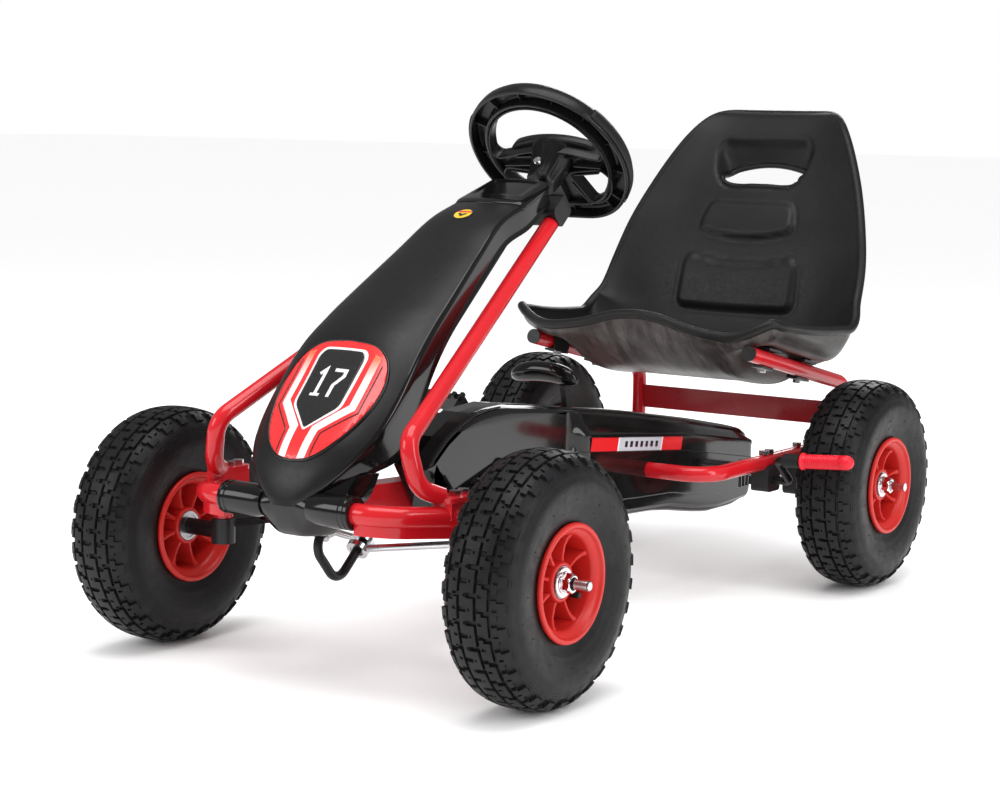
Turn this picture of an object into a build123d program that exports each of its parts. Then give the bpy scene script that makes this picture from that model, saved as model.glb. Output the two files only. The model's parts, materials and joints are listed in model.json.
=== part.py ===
from build123d import *
import os
from math import asin, atan2, cos, degrees, hypot, pi, radians, sin

# A child's pedal go kart. Millimetres. The kart faces -Y, +X is the driver's left, +Z is up and Z = 0 is the ground.
# "Back" is a distance behind the front axle, so at(x, back, z) gives a point of the kart's own frame.

os.makedirs("parts", exist_ok=True)

LEFT, RIGHT = 1, -1
SIDE_NAME = {LEFT: "left", RIGHT: "right"}
RUN = 0.05           # radial running clearance of a shaft in its bearing
GAP = 0.4            # clearance between parts that pass each other
FIT = 0.02           # clearance round a tube that is welded or pressed into a hole

# Layout
FRONT_AXLE_Y = -423.242
WHEELBASE = 749.0
AXLE_Z = 130.0
KINGPIN_X = 168.0
WHEEL_X = 243.0

# Wheels
TYRE_R = 130.0
TYRE_HALF = 41.5
RIM_FLANGE_R = 60.0
RIM_HALF = 34.8
BARREL_R = 52.0
WHEEL_HUB_R = 19.0
WHEEL_HUB_HALF = 26.0
RIM_RIBS = 8
STUB_R = 6.0
BEARING_R = 16.0
BEARING_W = 10.0
NUT_ACROSS = 18.0
NUT_FACE = 2.6       # the washer with its clearance
NUT_HEIGHT = 10.0
THREAD_R = 5.0       # the free end of each axle, outside its nut
THREAD_END = 300.0

# Steering
COLUMN_TILT = radians(41.0)
COLUMN_DIR = Vector(0, cos(COLUMN_TILT), sin(COLUMN_TILT))
COLUMN_DOWN = Vector(0, sin(COLUMN_TILT), -cos(COLUMN_TILT))
COLUMN_R = 5.0
CRANK_OFFSET = 60.0
CRANK_BEND = -25.0   # distance along the column, below its foot, of the crank's web
CRANK_PIN_END = 46.0
EYE_LEFT, EYE_RIGHT = 22.0, 34.0
WHEEL_ALONG = 568.0
WHEEL_UP = 12.4
STEERING_WHEEL_R = 102.0
STEERING_WHEEL_HALF = 11.5
STEERING_WHEEL_FLAT = 92.0
ARM_X, ARM_BACK = 148.0, 45.0
ARM_Z = 138.0
ROD_Z = 148.0
ROD_R = 4.0
EYE_R = 9.0

# Frame tubes
BAR_R = 9.5
BEAM_R = 11.0
BEAM_BACK, BEAM_Z = -92.0, 190.0
BAND_HEIGHT, BAND_WIDTH = 13.0, 8.0
SPINE_W, SPINE_H, SPINE_WALL = 26.0, 30.0, 2.0
SPINE_FRONT = (-82.0, 185.5)
SPINE_REAR = (489.0, 160.5)
HOOP_Z = 160.0
HOOP_BACK = 500.0
HOOP_X = 156.0
HOOP_END = 872.0
HOUSING_R = 10.5
HOUSING_LOW, HOUSING_HIGH = 145.0, 187.0
TUBE_WALL = 1.5

# Drive
CRANK_BACK, CRANK_Z = 205.0, 196.0
CRANK_RISE = radians(15.7)
CRANK_ARM = 107.0
CRANK_R = 6.0
CHAIN_X = 38.0
CHAIN_PITCH = 12.7
CRANK_TEETH, AXLE_TEETH = 24, 16
PITCH_R_CRANK = CHAIN_PITCH / (2 * sin(pi / CRANK_TEETH))
PITCH_R_AXLE = CHAIN_PITCH / (2 * sin(pi / AXLE_TEETH))
TOOTH_DROP = 4.3     # how far the tooth tips stay inside the pitch circle
PEDAL_X, PEDAL_HALF = 110.0, 32.0
REAR_AXLE_R = 8.0

# Seat
RAIL_FRONT = (597.0, 299.0)
RAIL_REAR = (846.0, 243.0)
SEAT_WALL = 5.0


def at(x, back, z):
    return Vector(x, FRONT_AXLE_Y + back, z)


def on_column(along, down=0.0, x=0.0):
    """A point of the steering column: along its axis from its foot, and down from the axis."""
    return at(0, -35, 158) + COLUMN_DIR * along + COLUMN_DOWN * down + Vector(x, 0, 0)


def plane_to(start, end):
    return Plane(origin=start, z_dir=end - start)


def rod(start, end, radius):
    return plane_to(start, end) * Cylinder(radius, (end - start).length, align=(Align.CENTER, Align.CENTER, Align.MIN))


def pipe(start, end, radius, bore):
    direction = (end - start).normalized()
    return rod(start, end, radius) - rod(start - direction, end + direction, bore)


def bent_tube(points, radius, bend, wall=0.0):
    """A round bar or tube along straight runs joined by tangent arcs."""
    path = FilletPolyline(*points, radius=bend) if len(points) > 2 else Polyline(*points)
    section = Circle(radius) - Circle(radius - wall) if wall else Circle(radius)
    return sweep(Plane(origin=path @ 0, z_dir=path % 0) * section, path=path)


def hexagon_nut(base, direction, across, height, bore):
    side = across / 2 / cos(pi / 6)
    plane = Plane(origin=base, z_dir=direction)
    return plane * extrude(RegularPolygon(side, 6) - Circle(bore), height)


def box_between(low, high):
    size = high - low
    return Pos(*(low + size * 0.5)) * Box(*size)


def save(name, *shapes):
    solids = []
    for shape in shapes:
        solids += list(shape.solids())
    export_step(Compound(children=solids) if len(solids) > 1 else solids[0], f"parts/{name}.step")


# ---------------------------------------------------------------- wheels

def tyre(x, back):
    outside = [(33.5, 61), (38.5, 74), (TYRE_HALF, 92), (40.5, 106), (37, 117), (33, 123.5), (22, 128.2), (8, TYRE_R)]
    inside = [(5, 121.5), (20, 120), (29, 115.5), (34, 104), (35.2, 92), (32.5, 76), (27, 63), (26, 53.2), (33.2, 53.2)]
    left = make_face(Polyline((0, TYRE_R), *[(u, r) for u, r in reversed(outside)], *reversed(inside), (0, 121.5), close=True))
    return Pos(*at(x, back, AXLE_Z)) * (revolve(left, Axis.X) + revolve(mirror(left, Plane.YZ), Axis.X))


def rim(x, back, bore):
    flange = [(RIM_HALF - 1, BARREL_R + 1), (RIM_HALF - 1, 58), (RIM_HALF, RIM_FLANGE_R), (38, RIM_FLANGE_R),
              (39, 57), (37.5, 54), (RIM_HALF, 50), (30, 47.5)]
    barrel = [(u, r) for u, r in flange] + [(10, 46), (-10, 46)] + [(-u, r) for u, r in reversed(flange)]
    shell = make_face(Polyline(*barrel, (-20, BARREL_R + 1), (20, BARREL_R + 1), close=True))
    part = revolve(shell, Axis.X)
    hub = Rot(0, 90, 0) * Cylinder(WHEEL_HUB_R, 2 * WHEEL_HUB_HALF)
    web = Rot(0, 90, 0) * (Cylinder(46.5, 4) - Cylinder(WHEEL_HUB_R - 1, 5))
    part = part + hub + web
    for i in range(RIM_RIBS):
        rib = Pos(0, 0, (46.6 + WHEEL_HUB_R) / 2 - 1) * Box(44, 3.6, 46.6 - WHEEL_HUB_R + 4)
        part = part + Rot((i + 0.5) * 360 / RIM_RIBS, 0, 0) * rib
    part = part - Rot(0, 90, 0) * Cylinder(bore, 2 * WHEEL_HUB_HALF + 2)
    for end in (1, -1):
        pocket = Rot(0, 90, 0) * Cylinder(BEARING_R + FIT, BEARING_W + 1)
        part = part - Pos(end * (WHEEL_HUB_HALF - BEARING_W / 2 + 0.5), 0, 0) * pocket
    return Pos(*at(x, back, AXLE_Z)) * part


def hub_rings(x, back, bore):
    """The two bearings, or the two keyed drive rings, pressed into a wheel's hub."""
    ring = Cylinder(BEARING_R, BEARING_W) - Cylinder(bore, BEARING_W + 1)
    centres = [end * (WHEEL_HUB_HALF - BEARING_W / 2) for end in (1, -1)]
    return [Pos(*at(x + c, back, AXLE_Z)) * Rot(0, 90, 0) * ring for c in centres]


def axle_end_nut(side, back):
    """The zinc washer and the nut on an axle's end, outside the wheel."""
    face = side * (WHEEL_X + WHEEL_HUB_HALF + GAP)
    out = Vector(side, 0, 0)
    start = at(face, back, AXLE_Z)
    washer = pipe(start, start + out * 2.5, 15, STUB_R + FIT)
    return [washer, hexagon_nut(start + out * NUT_FACE, out, NUT_ACROSS, NUT_HEIGHT, STUB_R + FIT)]


def axle_end(side, back, inner):
    """A stub from x = inner out through the wheel and its nut, with a thinner free end."""
    shoulder = WHEEL_X + WHEEL_HUB_HALF + GAP + NUT_FACE + NUT_HEIGHT + 1
    stub = rod(at(side * inner, back, AXLE_Z), at(side * shoulder, back, AXLE_Z), STUB_R)
    return stub + rod(at(side * (shoulder - 1), back, AXLE_Z), at(side * THREAD_END, back, AXLE_Z), THREAD_R)


def make_wheels():
    for end, back in (("front", 0.0), ("rear", WHEELBASE)):
        for side in (LEFT, RIGHT):
            name = f"{end}_{SIDE_NAME[side]}"
            x = side * WHEEL_X
            keyed = end == "rear" and side == LEFT
            save(f"{name}_tyre", tyre(x, back))
            save(f"{name}_rim", rim(x, back, 8.5))
            rings = hub_rings(x, back, STUB_R + (FIT if keyed else RUN))
            save(f"{name}_drive_rings" if keyed else f"{name}_bearings", *rings)


# ---------------------------------------------------------------- steering

def make_column():
    points = [on_column(596), on_column(CRANK_BEND), on_column(CRANK_BEND, CRANK_OFFSET), on_column(CRANK_PIN_END, CRANK_OFFSET)]
    column = bent_tube(points, COLUMN_R, 18)
    save("steering_column", column)
    face = Plane(origin=on_column(WHEEL_ALONG, -WHEEL_UP), x_dir=(1, 0, 0), z_dir=COLUMN_DIR)
    disc = Circle(STEERING_WHEEL_R) & Pos(0, STEERING_WHEEL_FLAT - 110, 0) * Rectangle(220, 220)
    inner = Circle(STEERING_WHEEL_R - 25) & Pos(0, STEERING_WHEEL_FLAT - 132, 0) * Rectangle(220, 220)
    ring = extrude(disc - inner, STEERING_WHEEL_HALF, both=True)
    spokes = extrude(inner, 9, both=True)
    top_hole = Circle(STEERING_WHEEL_R - 25) & Pos(0, -56, 0) * Rectangle(200, 100)
    spokes = spokes - extrude(top_hole, 20, both=True)
    for side in (LEFT, RIGHT):
        window = Polyline((side * 25, 30), (side * 70, 22), (side * 52, 60), (side * 30, 64), close=True)
        spokes = spokes - extrude(make_face(window), 20, both=True)
    wheel = face * (ring + spokes)
    neck = Plane(origin=on_column(526), z_dir=COLUMN_DIR) * Cone(17, 27, 42, align=(Align.CENTER, Align.CENTER, Align.MIN))
    wheel = wheel + neck + rod(on_column(WHEEL_ALONG - 2), on_column(WHEEL_ALONG + 26), 27)
    wheel = wheel - rod(on_column(500), on_column(596.5), COLUMN_R + FIT)
    hole = rod(on_column(540, -40), on_column(540, -COLUMN_R - 3), 2.6)
    wheel = wheel - hole
    save("steering_wheel", wheel)
    screw = rod(on_column(540, -24), on_column(540, -COLUMN_R - 3.2), 2.5) + rod(on_column(540, -27), on_column(540, -24), 4.5)
    save("steering_wheel_screw", screw - rod(on_column(520), on_column(560), COLUMN_R + 3.1))


def make_knuckle(side):
    """Kingpin, stub axle and steering arm, welded together."""
    x = side * KINGPIN_X
    pin = rod(at(x, 0, AXLE_Z), at(x, 0, HOUSING_HIGH + 9), STUB_R)
    block = rod(at(x, 0, AXLE_Z - 13), at(x, 0, HOUSING_LOW - GAP), 13)
    stub = axle_end(side, 0, KINGPIN_X)
    shoulder = rod(at(x, 0, AXLE_Z), at(side * (WHEEL_X - WHEEL_HUB_HALF - GAP), 0, AXLE_Z), 9)
    length = hypot(KINGPIN_X - ARM_X, ARM_BACK)
    arm = Pos(length / 2, 0, 0) * Box(length, 18, 5) + Pos(length, 0, 0) * Cylinder(EYE_R, 5)
    arm = at_plane(x, ARM_Z, atan2(ARM_BACK, side * (ARM_X - KINGPIN_X))) * arm
    stud = rod(at(side * ARM_X, ARM_BACK, ARM_Z - 2), at(side * ARM_X, ARM_BACK, ROD_Z + 9), 4)
    knuckle = pin + block + stub + shoulder + arm + stud
    save(f"{SIDE_NAME[side]}_knuckle", knuckle)
    cap = hexagon_nut(at(x, 0, HOUSING_HIGH + GAP), Vector(0, 0, 1), NUT_ACROSS, 8, STUB_R + FIT)
    save(f"front_{SIDE_NAME[side]}_nuts", *axle_end_nut(side, 0.0), cap)


def at_plane(x, z, turn):
    return Pos(*at(x, 0, z)) * Rot(0, 0, degrees(turn))


def make_tie_rod(side, along):
    """A rod with an eye at the knuckle's arm and a loose eye round the steering crank's pin."""
    outer = at(side * ARM_X, ARM_BACK, ROD_Z)
    inner = on_column(along, CRANK_OFFSET)
    eye_out = pipe(outer - Vector(0, 0, 3), outer + Vector(0, 0, 3), EYE_R, 4 + RUN)
    eye_in = pipe(inner - COLUMN_DIR * 3, inner + COLUMN_DIR * 3, 12.5, COLUMN_R + 2.6)
    run = (inner - outer).normalized()
    bar = rod(outer + run * (EYE_R - 1.5), inner - run * 11, ROD_R)
    save(f"{SIDE_NAME[side]}_tie_rod", eye_out + eye_in + bar)


# ---------------------------------------------------------------- frame

def spine_line(back):
    share = (back - SPINE_FRONT[0]) / (SPINE_REAR[0] - SPINE_FRONT[0])
    return SPINE_FRONT[1] + share * (SPINE_REAR[1] - SPINE_FRONT[1])


def head_tube_solid(radius):
    return rod(on_column(3), on_column(84), radius)


def beam_solid(grow=0.0):
    points = [at(-158, -14, 184), at(-118, BEAM_BACK, BEAM_Z), at(118, BEAM_BACK, BEAM_Z), at(158, -14, 184)]
    return bent_tube(points, BEAM_R + grow, 45)


def beam_band(side):
    """The flat band welded under the beam, from the chin's sleeve out to the kingpin housing."""
    drop = BEAM_R + BAND_HEIGHT / 2 - 3
    points = [at(side * 158, -14, 184 - drop), at(side * 118, BEAM_BACK, BEAM_Z - drop), at(side * 84, BEAM_BACK, BEAM_Z - drop)]
    path = FilletPolyline(*points, radius=45)
    section = Plane(origin=path @ 0, x_dir=(0, 0, 1), z_dir=path % 0) * Rectangle(BAND_HEIGHT, BAND_WIDTH)
    return sweep(section, path=path)


def housing_solid(side, grow=0.0):
    x = side * KINGPIN_X
    return rod(at(x, 0, HOUSING_LOW), at(x, 0, HOUSING_HIGH), HOUSING_R + grow)


def hoop_solid(radius):
    points = [at(-HOOP_X, HOOP_END, HOOP_Z), at(-HOOP_X, HOOP_BACK, HOOP_Z), at(HOOP_X, HOOP_BACK, HOOP_Z), at(HOOP_X, HOOP_END, HOOP_Z)]
    return bent_tube(points, radius, 40)


def crank_shell_solid(radius):
    return rod(at(-22, CRANK_BACK, CRANK_Z), at(22, CRANK_BACK, CRANK_Z), radius)


FOOT_X, FOOT_BACK, FOOT_Z = 149.0, -14.0, 203.0


def side_bar_points(side):
    return [at(side * 40, 325, 463), at(side * 123, -62, 262), at(side * 133, -56, 216), at(side * 145, -32, FOOT_Z + 3)]


def make_frame_tubes():
    front, rear = at(0, *SPINE_FRONT), at(0, *SPINE_REAR)
    section = Rectangle(SPINE_W, SPINE_H) - Rectangle(SPINE_W - 2 * SPINE_WALL, SPINE_H - 2 * SPINE_WALL)
    spine_plane = Plane(origin=front, x_dir=(1, 0, 0), z_dir=rear - front)
    spine = spine_plane * extrude(section, (rear - front).length)
    spine = spine - head_tube_solid(11 + FIT) - crank_shell_solid(15 + FIT) - beam_solid(FIT) - hoop_solid(BAR_R + FIT)
    spine = spine - pivot_pin_solid(4 + FIT) - rod(on_column(-10), on_column(3), 14)
    save("spine_tube", max(spine.solids(), key=lambda s: s.volume))
    save("head_tube", head_tube_solid(11) - rod(on_column(2), on_column(90), 8.5))
    bushes = []
    for start, inward in ((3, 1), (84, -1)):
        sleeve = rod(on_column(start), on_column(start + inward * 12), 8.5 - FIT)
        collar = rod(on_column(start), on_column(start - inward * 6), 12.5)
        bushes.append(sleeve + collar - rod(on_column(-10), on_column(95), COLUMN_R + RUN))
    save("column_bushes", *bushes)
    housings = [pipe(at(s * KINGPIN_X, 0, HOUSING_LOW), at(s * KINGPIN_X, 0, HOUSING_HIGH), HOUSING_R, STUB_R + RUN) for s in (LEFT, RIGHT)]
    save("kingpin_housings", *housings)
    beam = beam_solid() + beam_band(LEFT) + beam_band(RIGHT)
    for side in (LEFT, RIGHT):
        beam = beam - housing_solid(side, FIT)
    save("front_beam", max(beam.solids(), key=lambda s: s.volume))
    save("rear_hoop", hoop_solid(BAR_R) - hoop_solid(BAR_R - TUBE_WALL))
    shell = crank_shell_solid(15) - rod(at(-23, CRANK_BACK, CRANK_Z), at(23, CRANK_BACK, CRANK_Z), 12.5)
    save("crank_shell", shell)
    bearings = []
    for side in (LEFT, RIGHT):
        inner, outer = at(side * 12, CRANK_BACK, CRANK_Z), at(side * 22, CRANK_BACK, CRANK_Z)
        bearings.append(pipe(inner, outer, 12.5 - FIT, CRANK_R + RUN))
    save("crank_bearings", *bearings)


def side_bar_solid(side, radius):
    return bent_tube(side_bar_points(side), radius, 24)


def foot_bolts(side):
    """The two bolts' centres in a side bar's flattened foot."""
    return [(side * (FOOT_X - 1), FOOT_BACK), (side * (FOOT_X - 1), FOOT_BACK + 15)]


def make_side_bars():
    """Each bar ends in a flattened foot, bolted to a saddle on the front beam."""
    saddles = []
    for side in (LEFT, RIGHT):
        foot = box_between(at(side * FOOT_X - 13, FOOT_BACK - 24, FOOT_Z - 2.5), at(side * FOOT_X + 13, FOOT_BACK + 24, FOOT_Z + 2.5))
        foot = fillet(foot.edges().filter_by(Axis.Z), 8)
        bar = side_bar_solid(side, BAR_R) + foot
        low = at(side * FOOT_X - 20, FOOT_BACK - 40, FOOT_Z - 2.5)
        bar = bar - box_between(low - Vector(0, 0, 30), low + Vector(40, 80, 0))
        saddle = box_between(at(side * FOOT_X - 11, FOOT_BACK - 22, 184), at(side * FOOT_X + 11, FOOT_BACK + 22, FOOT_Z - 2.5))
        kingpin = at(side * KINGPIN_X, 0, FOOT_Z - 40)
        saddle = saddle - beam_solid(FIT) - rod(kingpin, kingpin + Vector(0, 0, 60), HOUSING_R + 4)
        saddle = max(saddle.solids(), key=lambda s: s.volume)
        for x, back in foot_bolts(side):
            hole = rod(at(x, back, FOOT_Z - 12), at(x, back, FOOT_Z + 20), 3 + FIT)
            bar, saddle = bar - hole, saddle - hole
        save(f"{SIDE_NAME[side]}_side_bar", max(bar.solids(), key=lambda s: s.volume))
        saddles.append(max(saddle.solids(), key=lambda s: s.volume))
    save("beam_saddles", *saddles)


def bracket_block():
    """The black bracket under the steering wheel: it holds the side bars' tops and the column's upper bearing."""
    middle = on_column(488)
    plane = Plane(origin=middle, x_dir=(1, 0, 0), z_dir=COLUMN_DIR)
    centre = plane * Cylinder(15, 40)
    wing = plane * Pos(0, 0, -4) * Box(104, 26, 30)
    wing = fillet(wing.edges().filter_by(Axis.X), 6)
    return centre + wing


def make_bracket():
    block = bracket_block() - rod(on_column(440), on_column(530), COLUMN_R + RUN)
    for side in (LEFT, RIGHT):
        block = block - side_bar_solid(side, BAR_R + FIT)
    save("column_bracket", max(block.solids(), key=lambda s: s.volume))


# ---------------------------------------------------------------- seat carrier

RAIL_DIR = (at(0, *RAIL_REAR) - at(0, *RAIL_FRONT)).normalized()


def rail_point(side, along, up=0.0):
    normal = Vector(0, -RAIL_DIR.Z, RAIL_DIR.Y)
    return at(side * HOOP_X, *RAIL_FRONT) + RAIL_DIR * along + normal * up


def rail_points(side):
    return [rail_point(side, 0), at(side * HOOP_X, 869, 237.8), at(side * HOOP_X, 869, HOOP_Z + BAR_R)]


def make_rails():
    for side in (LEFT, RIGHT):
        rail = bent_tube(rail_points(side), BAR_R, 26, TUBE_WALL) - hoop_solid(BAR_R + FIT)
        save(f"{SIDE_NAME[side]}_seat_rail", max(rail.solids(), key=lambda s: s.volume))
    plugs = []
    for side in (LEFT, RIGHT):
        start = rail_point(side, 0)
        plugs.append(rod(start, rail_point(side, 12), BAR_R - TUBE_WALL - FIT) + rod(rail_point(side, -3), start, BAR_R))
        end = at(side * HOOP_X, HOOP_END, HOOP_Z)
        back = Vector(0, 1, 0)
        plugs.append(rod(end - back * 12, end, BAR_R - TUBE_WALL - FIT) + rod(end, end + back * 3, BAR_R))
    save("tube_plugs", *plugs)
    brace = box_between(at(-HOOP_X - 2, 867, 181), at(HOOP_X + 2, 871, 212))
    for side in (LEFT, RIGHT):
        brace = brace - rod(at(side * HOOP_X, 869, 160), at(side * HOOP_X, 869, 230), BAR_R + FIT)
    save("seat_cross_brace", max(brace.solids(), key=lambda s: s.volume))


def make_axle_bearings():
    blocks, back = [], WHEELBASE
    for side in (LEFT, RIGHT):
        x = side * HOOP_X
        block = box_between(at(x - 14, back - 24, 108), at(x + 14, back + 24, HOOP_Z - 2))
        block = fillet(block.edges().filter_by(Axis.X), 8)
        block = block - hoop_solid(BAR_R + FIT)
        block = block - rod(at(x - 20, back, AXLE_Z), at(x + 20, back, AXLE_Z), REAR_AXLE_R + RUN)
        blocks.append(max(block.solids(), key=lambda s: s.volume))
    save("axle_bearings", *blocks)


# ---------------------------------------------------------------- drive

def sprocket_disc(teeth, pitch_r, thickness):
    tip, root = pitch_r - TOOTH_DROP, pitch_r - TOOTH_DROP - 4.5
    points = []
    for i in range(teeth):
        for share, r in ((0.10, root), (0.38, tip), (0.62, tip), (0.90, root)):
            a = 2 * pi * (i + share) / teeth
            points.append((r * cos(a), r * sin(a)))
    return Rot(0, 90, 0) * extrude(make_face(Polyline(*points, close=True)), thickness / 2, both=True)


def crank_direction():
    return Vector(0, cos(CRANK_RISE), sin(CRANK_RISE))


def pedal_axis(side):
    """The pedal's centre: the right pedal is behind and above the crank's axle at rest, the left one opposite."""
    reach = crank_direction() * CRANK_ARM * (1 if side == RIGHT else -1)
    return at(side * PEDAL_X, CRANK_BACK, CRANK_Z) + reach


def make_crank():
    axle = rod(at(-69, CRANK_BACK, CRANK_Z), at(69, CRANK_BACK, CRANK_Z), CRANK_R)
    crank = axle
    for side in (LEFT, RIGHT):
        root = at(side * 65, CRANK_BACK, CRANK_Z)
        reach = pedal_axis(side) - Vector(side * PEDAL_X, root.Y, root.Z)
        tip = root + reach
        plane = Plane(origin=root, x_dir=reach, z_dir=Vector(1, 0, 0))
        length = reach.length
        arm = plane * (Pos(length / 2, 0, 0) * Box(length, 20, 7) + Cylinder(12, 7) + Pos(length, 0, 0) * Cylinder(10, 7))
        pin = rod(tip, tip + Vector(side * (PEDAL_X + PEDAL_HALF - 4 - 65), 0, 0), 5)
        crank = crank + arm + pin
    save("crank", crank)
    hub = pipe(at(26, CRANK_BACK, CRANK_Z), at(CHAIN_X + 5, CRANK_BACK, CRANK_Z), 12, CRANK_R + FIT)
    ring = Pos(*at(CHAIN_X, CRANK_BACK, CRANK_Z)) * sprocket_disc(CRANK_TEETH, PITCH_R_CRANK, 3)
    ring = ring - rod(at(0, CRANK_BACK, CRANK_Z), at(60, CRANK_BACK, CRANK_Z), CRANK_R + FIT)
    for i in range(5):
        a = 2 * pi * i / 5
        centre = at(0, CRANK_BACK + 32 * cos(a), CRANK_Z + 32 * sin(a))
        ring = ring - rod(centre, centre + Vector(60, 0, 0), 9)
    save("chainring", ring + hub)


def make_rear_axle():
    shoulder = WHEEL_X - WHEEL_HUB_HALF - GAP
    axle = rod(at(-shoulder, WHEELBASE, AXLE_Z), at(shoulder, WHEELBASE, AXLE_Z), REAR_AXLE_R)
    save("rear_axle", axle + axle_end(LEFT, WHEELBASE, shoulder - 5) + axle_end(RIGHT, WHEELBASE, shoulder - 5))
    disc = Pos(*at(CHAIN_X, WHEELBASE, AXLE_Z)) * sprocket_disc(AXLE_TEETH, PITCH_R_AXLE, 3)
    hub = rod(at(CHAIN_X - 10, WHEELBASE, AXLE_Z), at(CHAIN_X + 10, WHEELBASE, AXLE_Z), 14)
    save("rear_sprocket", disc + hub - rod(at(0, WHEELBASE, AXLE_Z), at(90, WHEELBASE, AXLE_Z), REAR_AXLE_R + FIT))
    save("rear_axle_nuts", *axle_end_nut(LEFT, WHEELBASE), *axle_end_nut(RIGHT, WHEELBASE))


def chain_loop(grow):
    """The outline that lies 'grow' outside both pitch circles: two arcs and their outer tangents, in the YZ plane."""
    front, rear = at(0, CRANK_BACK, CRANK_Z), at(0, WHEELBASE, AXLE_Z)
    r1, r2 = PITCH_R_CRANK + grow, PITCH_R_AXLE + grow
    dy, dz = rear.Y - front.Y, rear.Z - front.Z
    slope, spread = atan2(dz, dy), asin((r1 - r2) / hypot(dy, dz))
    hull = []
    for sign in (1, -1):
        a = slope + sign * (pi / 2 - spread)
        hull.append(((front.Y + r1 * cos(a), front.Z + r1 * sin(a)), (rear.Y + r2 * cos(a), rear.Z + r2 * sin(a))))
    (a1, a2), (b1, b2) = hull
    front_most = (front.Y - r1 * cos(slope), front.Z - r1 * sin(slope))
    rear_most = (rear.Y + r2 * cos(slope), rear.Z + r2 * sin(slope))
    outline = Line(a1, a2) + ThreePointArc(a2, rear_most, b2) + Line(b2, b1) + ThreePointArc(b1, front_most, a1)
    return make_face(outline)


def make_chain():
    band = chain_loop(4.2) - chain_loop(-3.8)
    width = 7.0
    save("chain", Plane(origin=(CHAIN_X - width / 2, 0, 0), x_dir=(0, 1, 0), z_dir=(1, 0, 0)) * extrude(band, width))


def make_pedal(side):
    """Two serrated rails on end plates round a spindle tube, tilted back, with a reflector on each long edge."""
    tube = Rot(0, 90, 0) * Cylinder(9, 2 * PEDAL_HALF)
    pedal = tube
    for edge in (1, -1):
        rail = Pos(0, edge * 30, 0) * Box(2 * PEDAL_HALF, 8, 22)
        pedal = pedal + rail
        for i in range(6):
            tooth = Pos(-PEDAL_HALF + 6 + i * 11.6, edge * 30, 12.5) * Box(5, 7.9, 5)
            pedal = pedal + tooth + mirror(tooth, Plane.XY)
    for end in (1, -1):
        pedal = pedal + Pos(end * (PEDAL_HALF - 3), 0, 0) * Box(6, 60, 18)
    pedal = pedal - Rot(0, 90, 0) * Cylinder(5 + RUN, 4 * PEDAL_HALF)
    return Pos(*pedal_axis(side)) * Rot(42, 0, 0) * pedal


def make_pedals():
    for side in (LEFT, RIGHT):
        save(f"{SIDE_NAME[side]}_pedal", make_pedal(side))


GUARD_INNER, GUARD_SPLIT, GUARD_FRONT_FACE, GUARD_POD_FACE = 15.5, 38.0, 60.0, 75.0
GUARD_WALL = 2.5
GUARD_OUTLINE = [(62, 214), (100, 242), (150, 263), (210, 267), (330, 252), (480, 232), (640, 206), (760, 184), (792, 165),
                 (788, 106), (770, 84), (680, 80), (560, 101), (470, 106), (330, 116), (170, 124), (104, 156)]
POD_OUTLINE = [(352, 242), (480, 224), (640, 198), (756, 176), (784, 160), (780, 108), (764, 88), (680, 84), (560, 105),
               (470, 110), (352, 118)]


def yz_prism(outline, x0, x1):
    points = [(FRONT_AXLE_Y + back, z) for back, z in outline]
    plane = Plane(origin=(x0, 0, 0), x_dir=(0, 1, 0), z_dir=(1, 0, 0))
    return plane * extrude(make_face(Polyline(*points, close=True)), x1 - x0)


def inset_prism(outline, x0, x1, wall):
    points = [(FRONT_AXLE_Y + back, z) for back, z in outline]
    plane = Plane(origin=(x0, 0, 0), x_dir=(0, 1, 0), z_dir=(1, 0, 0))
    face = offset(make_face(Polyline(*points, close=True)), -wall, kind=Kind.INTERSECTION)
    return plane * extrude(face, x1 - x0)


def guard_cuts():
    cuts = [rod(at(-5, CRANK_BACK, CRANK_Z), at(90, CRANK_BACK, CRANK_Z), 16.5)]
    cuts.append(rod(at(-5, WHEELBASE, AXLE_Z), at(90, WHEELBASE, AXLE_Z), 15.5))
    return cuts


def make_guard():
    hollow = inset_prism(GUARD_OUTLINE, GUARD_INNER + GUARD_WALL, GUARD_FRONT_FACE - GUARD_WALL, GUARD_WALL)
    pod_hollow = inset_prism(POD_OUTLINE, GUARD_FRONT_FACE - GUARD_WALL - 1, GUARD_POD_FACE - GUARD_WALL, GUARD_WALL)
    outer = yz_prism(GUARD_OUTLINE, GUARD_SPLIT + 0.1, GUARD_FRONT_FACE) + yz_prism(POD_OUTLINE, GUARD_FRONT_FACE - 1, GUARD_POD_FACE)
    outer = outer - hollow - pod_hollow
    inner = yz_prism(GUARD_OUTLINE, GUARD_INNER, GUARD_SPLIT - 0.1) - hollow
    for cut in guard_cuts() + [hoop_solid(BAR_R + 1.5), shift_slot(), pivot_pin_solid(4 + FIT)]:
        outer = outer - cut
        inner = inner - cut
    save("chain_guard_outer", max(outer.solids(), key=lambda s: s.volume))
    save("chain_guard_inner", max(inner.solids(), key=lambda s: s.volume))


# ---------------------------------------------------------------- shift lever

SHIFT_X = 27.0
SHIFT_PIVOT_BACK = 410.0
SHIFT_TOP = (378.0, 283.0)


def shift_slot():
    return box_between(at(SHIFT_X - 6.5, 352, 222), at(SHIFT_X + 6.5, 436, 275))


def pivot_pin_solid(radius):
    z = spine_line(SHIFT_PIVOT_BACK)
    return rod(at(-SPINE_W / 2 - 2, SHIFT_PIVOT_BACK, z), at(SHIFT_X + 7, SHIFT_PIVOT_BACK, z), radius)


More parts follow.
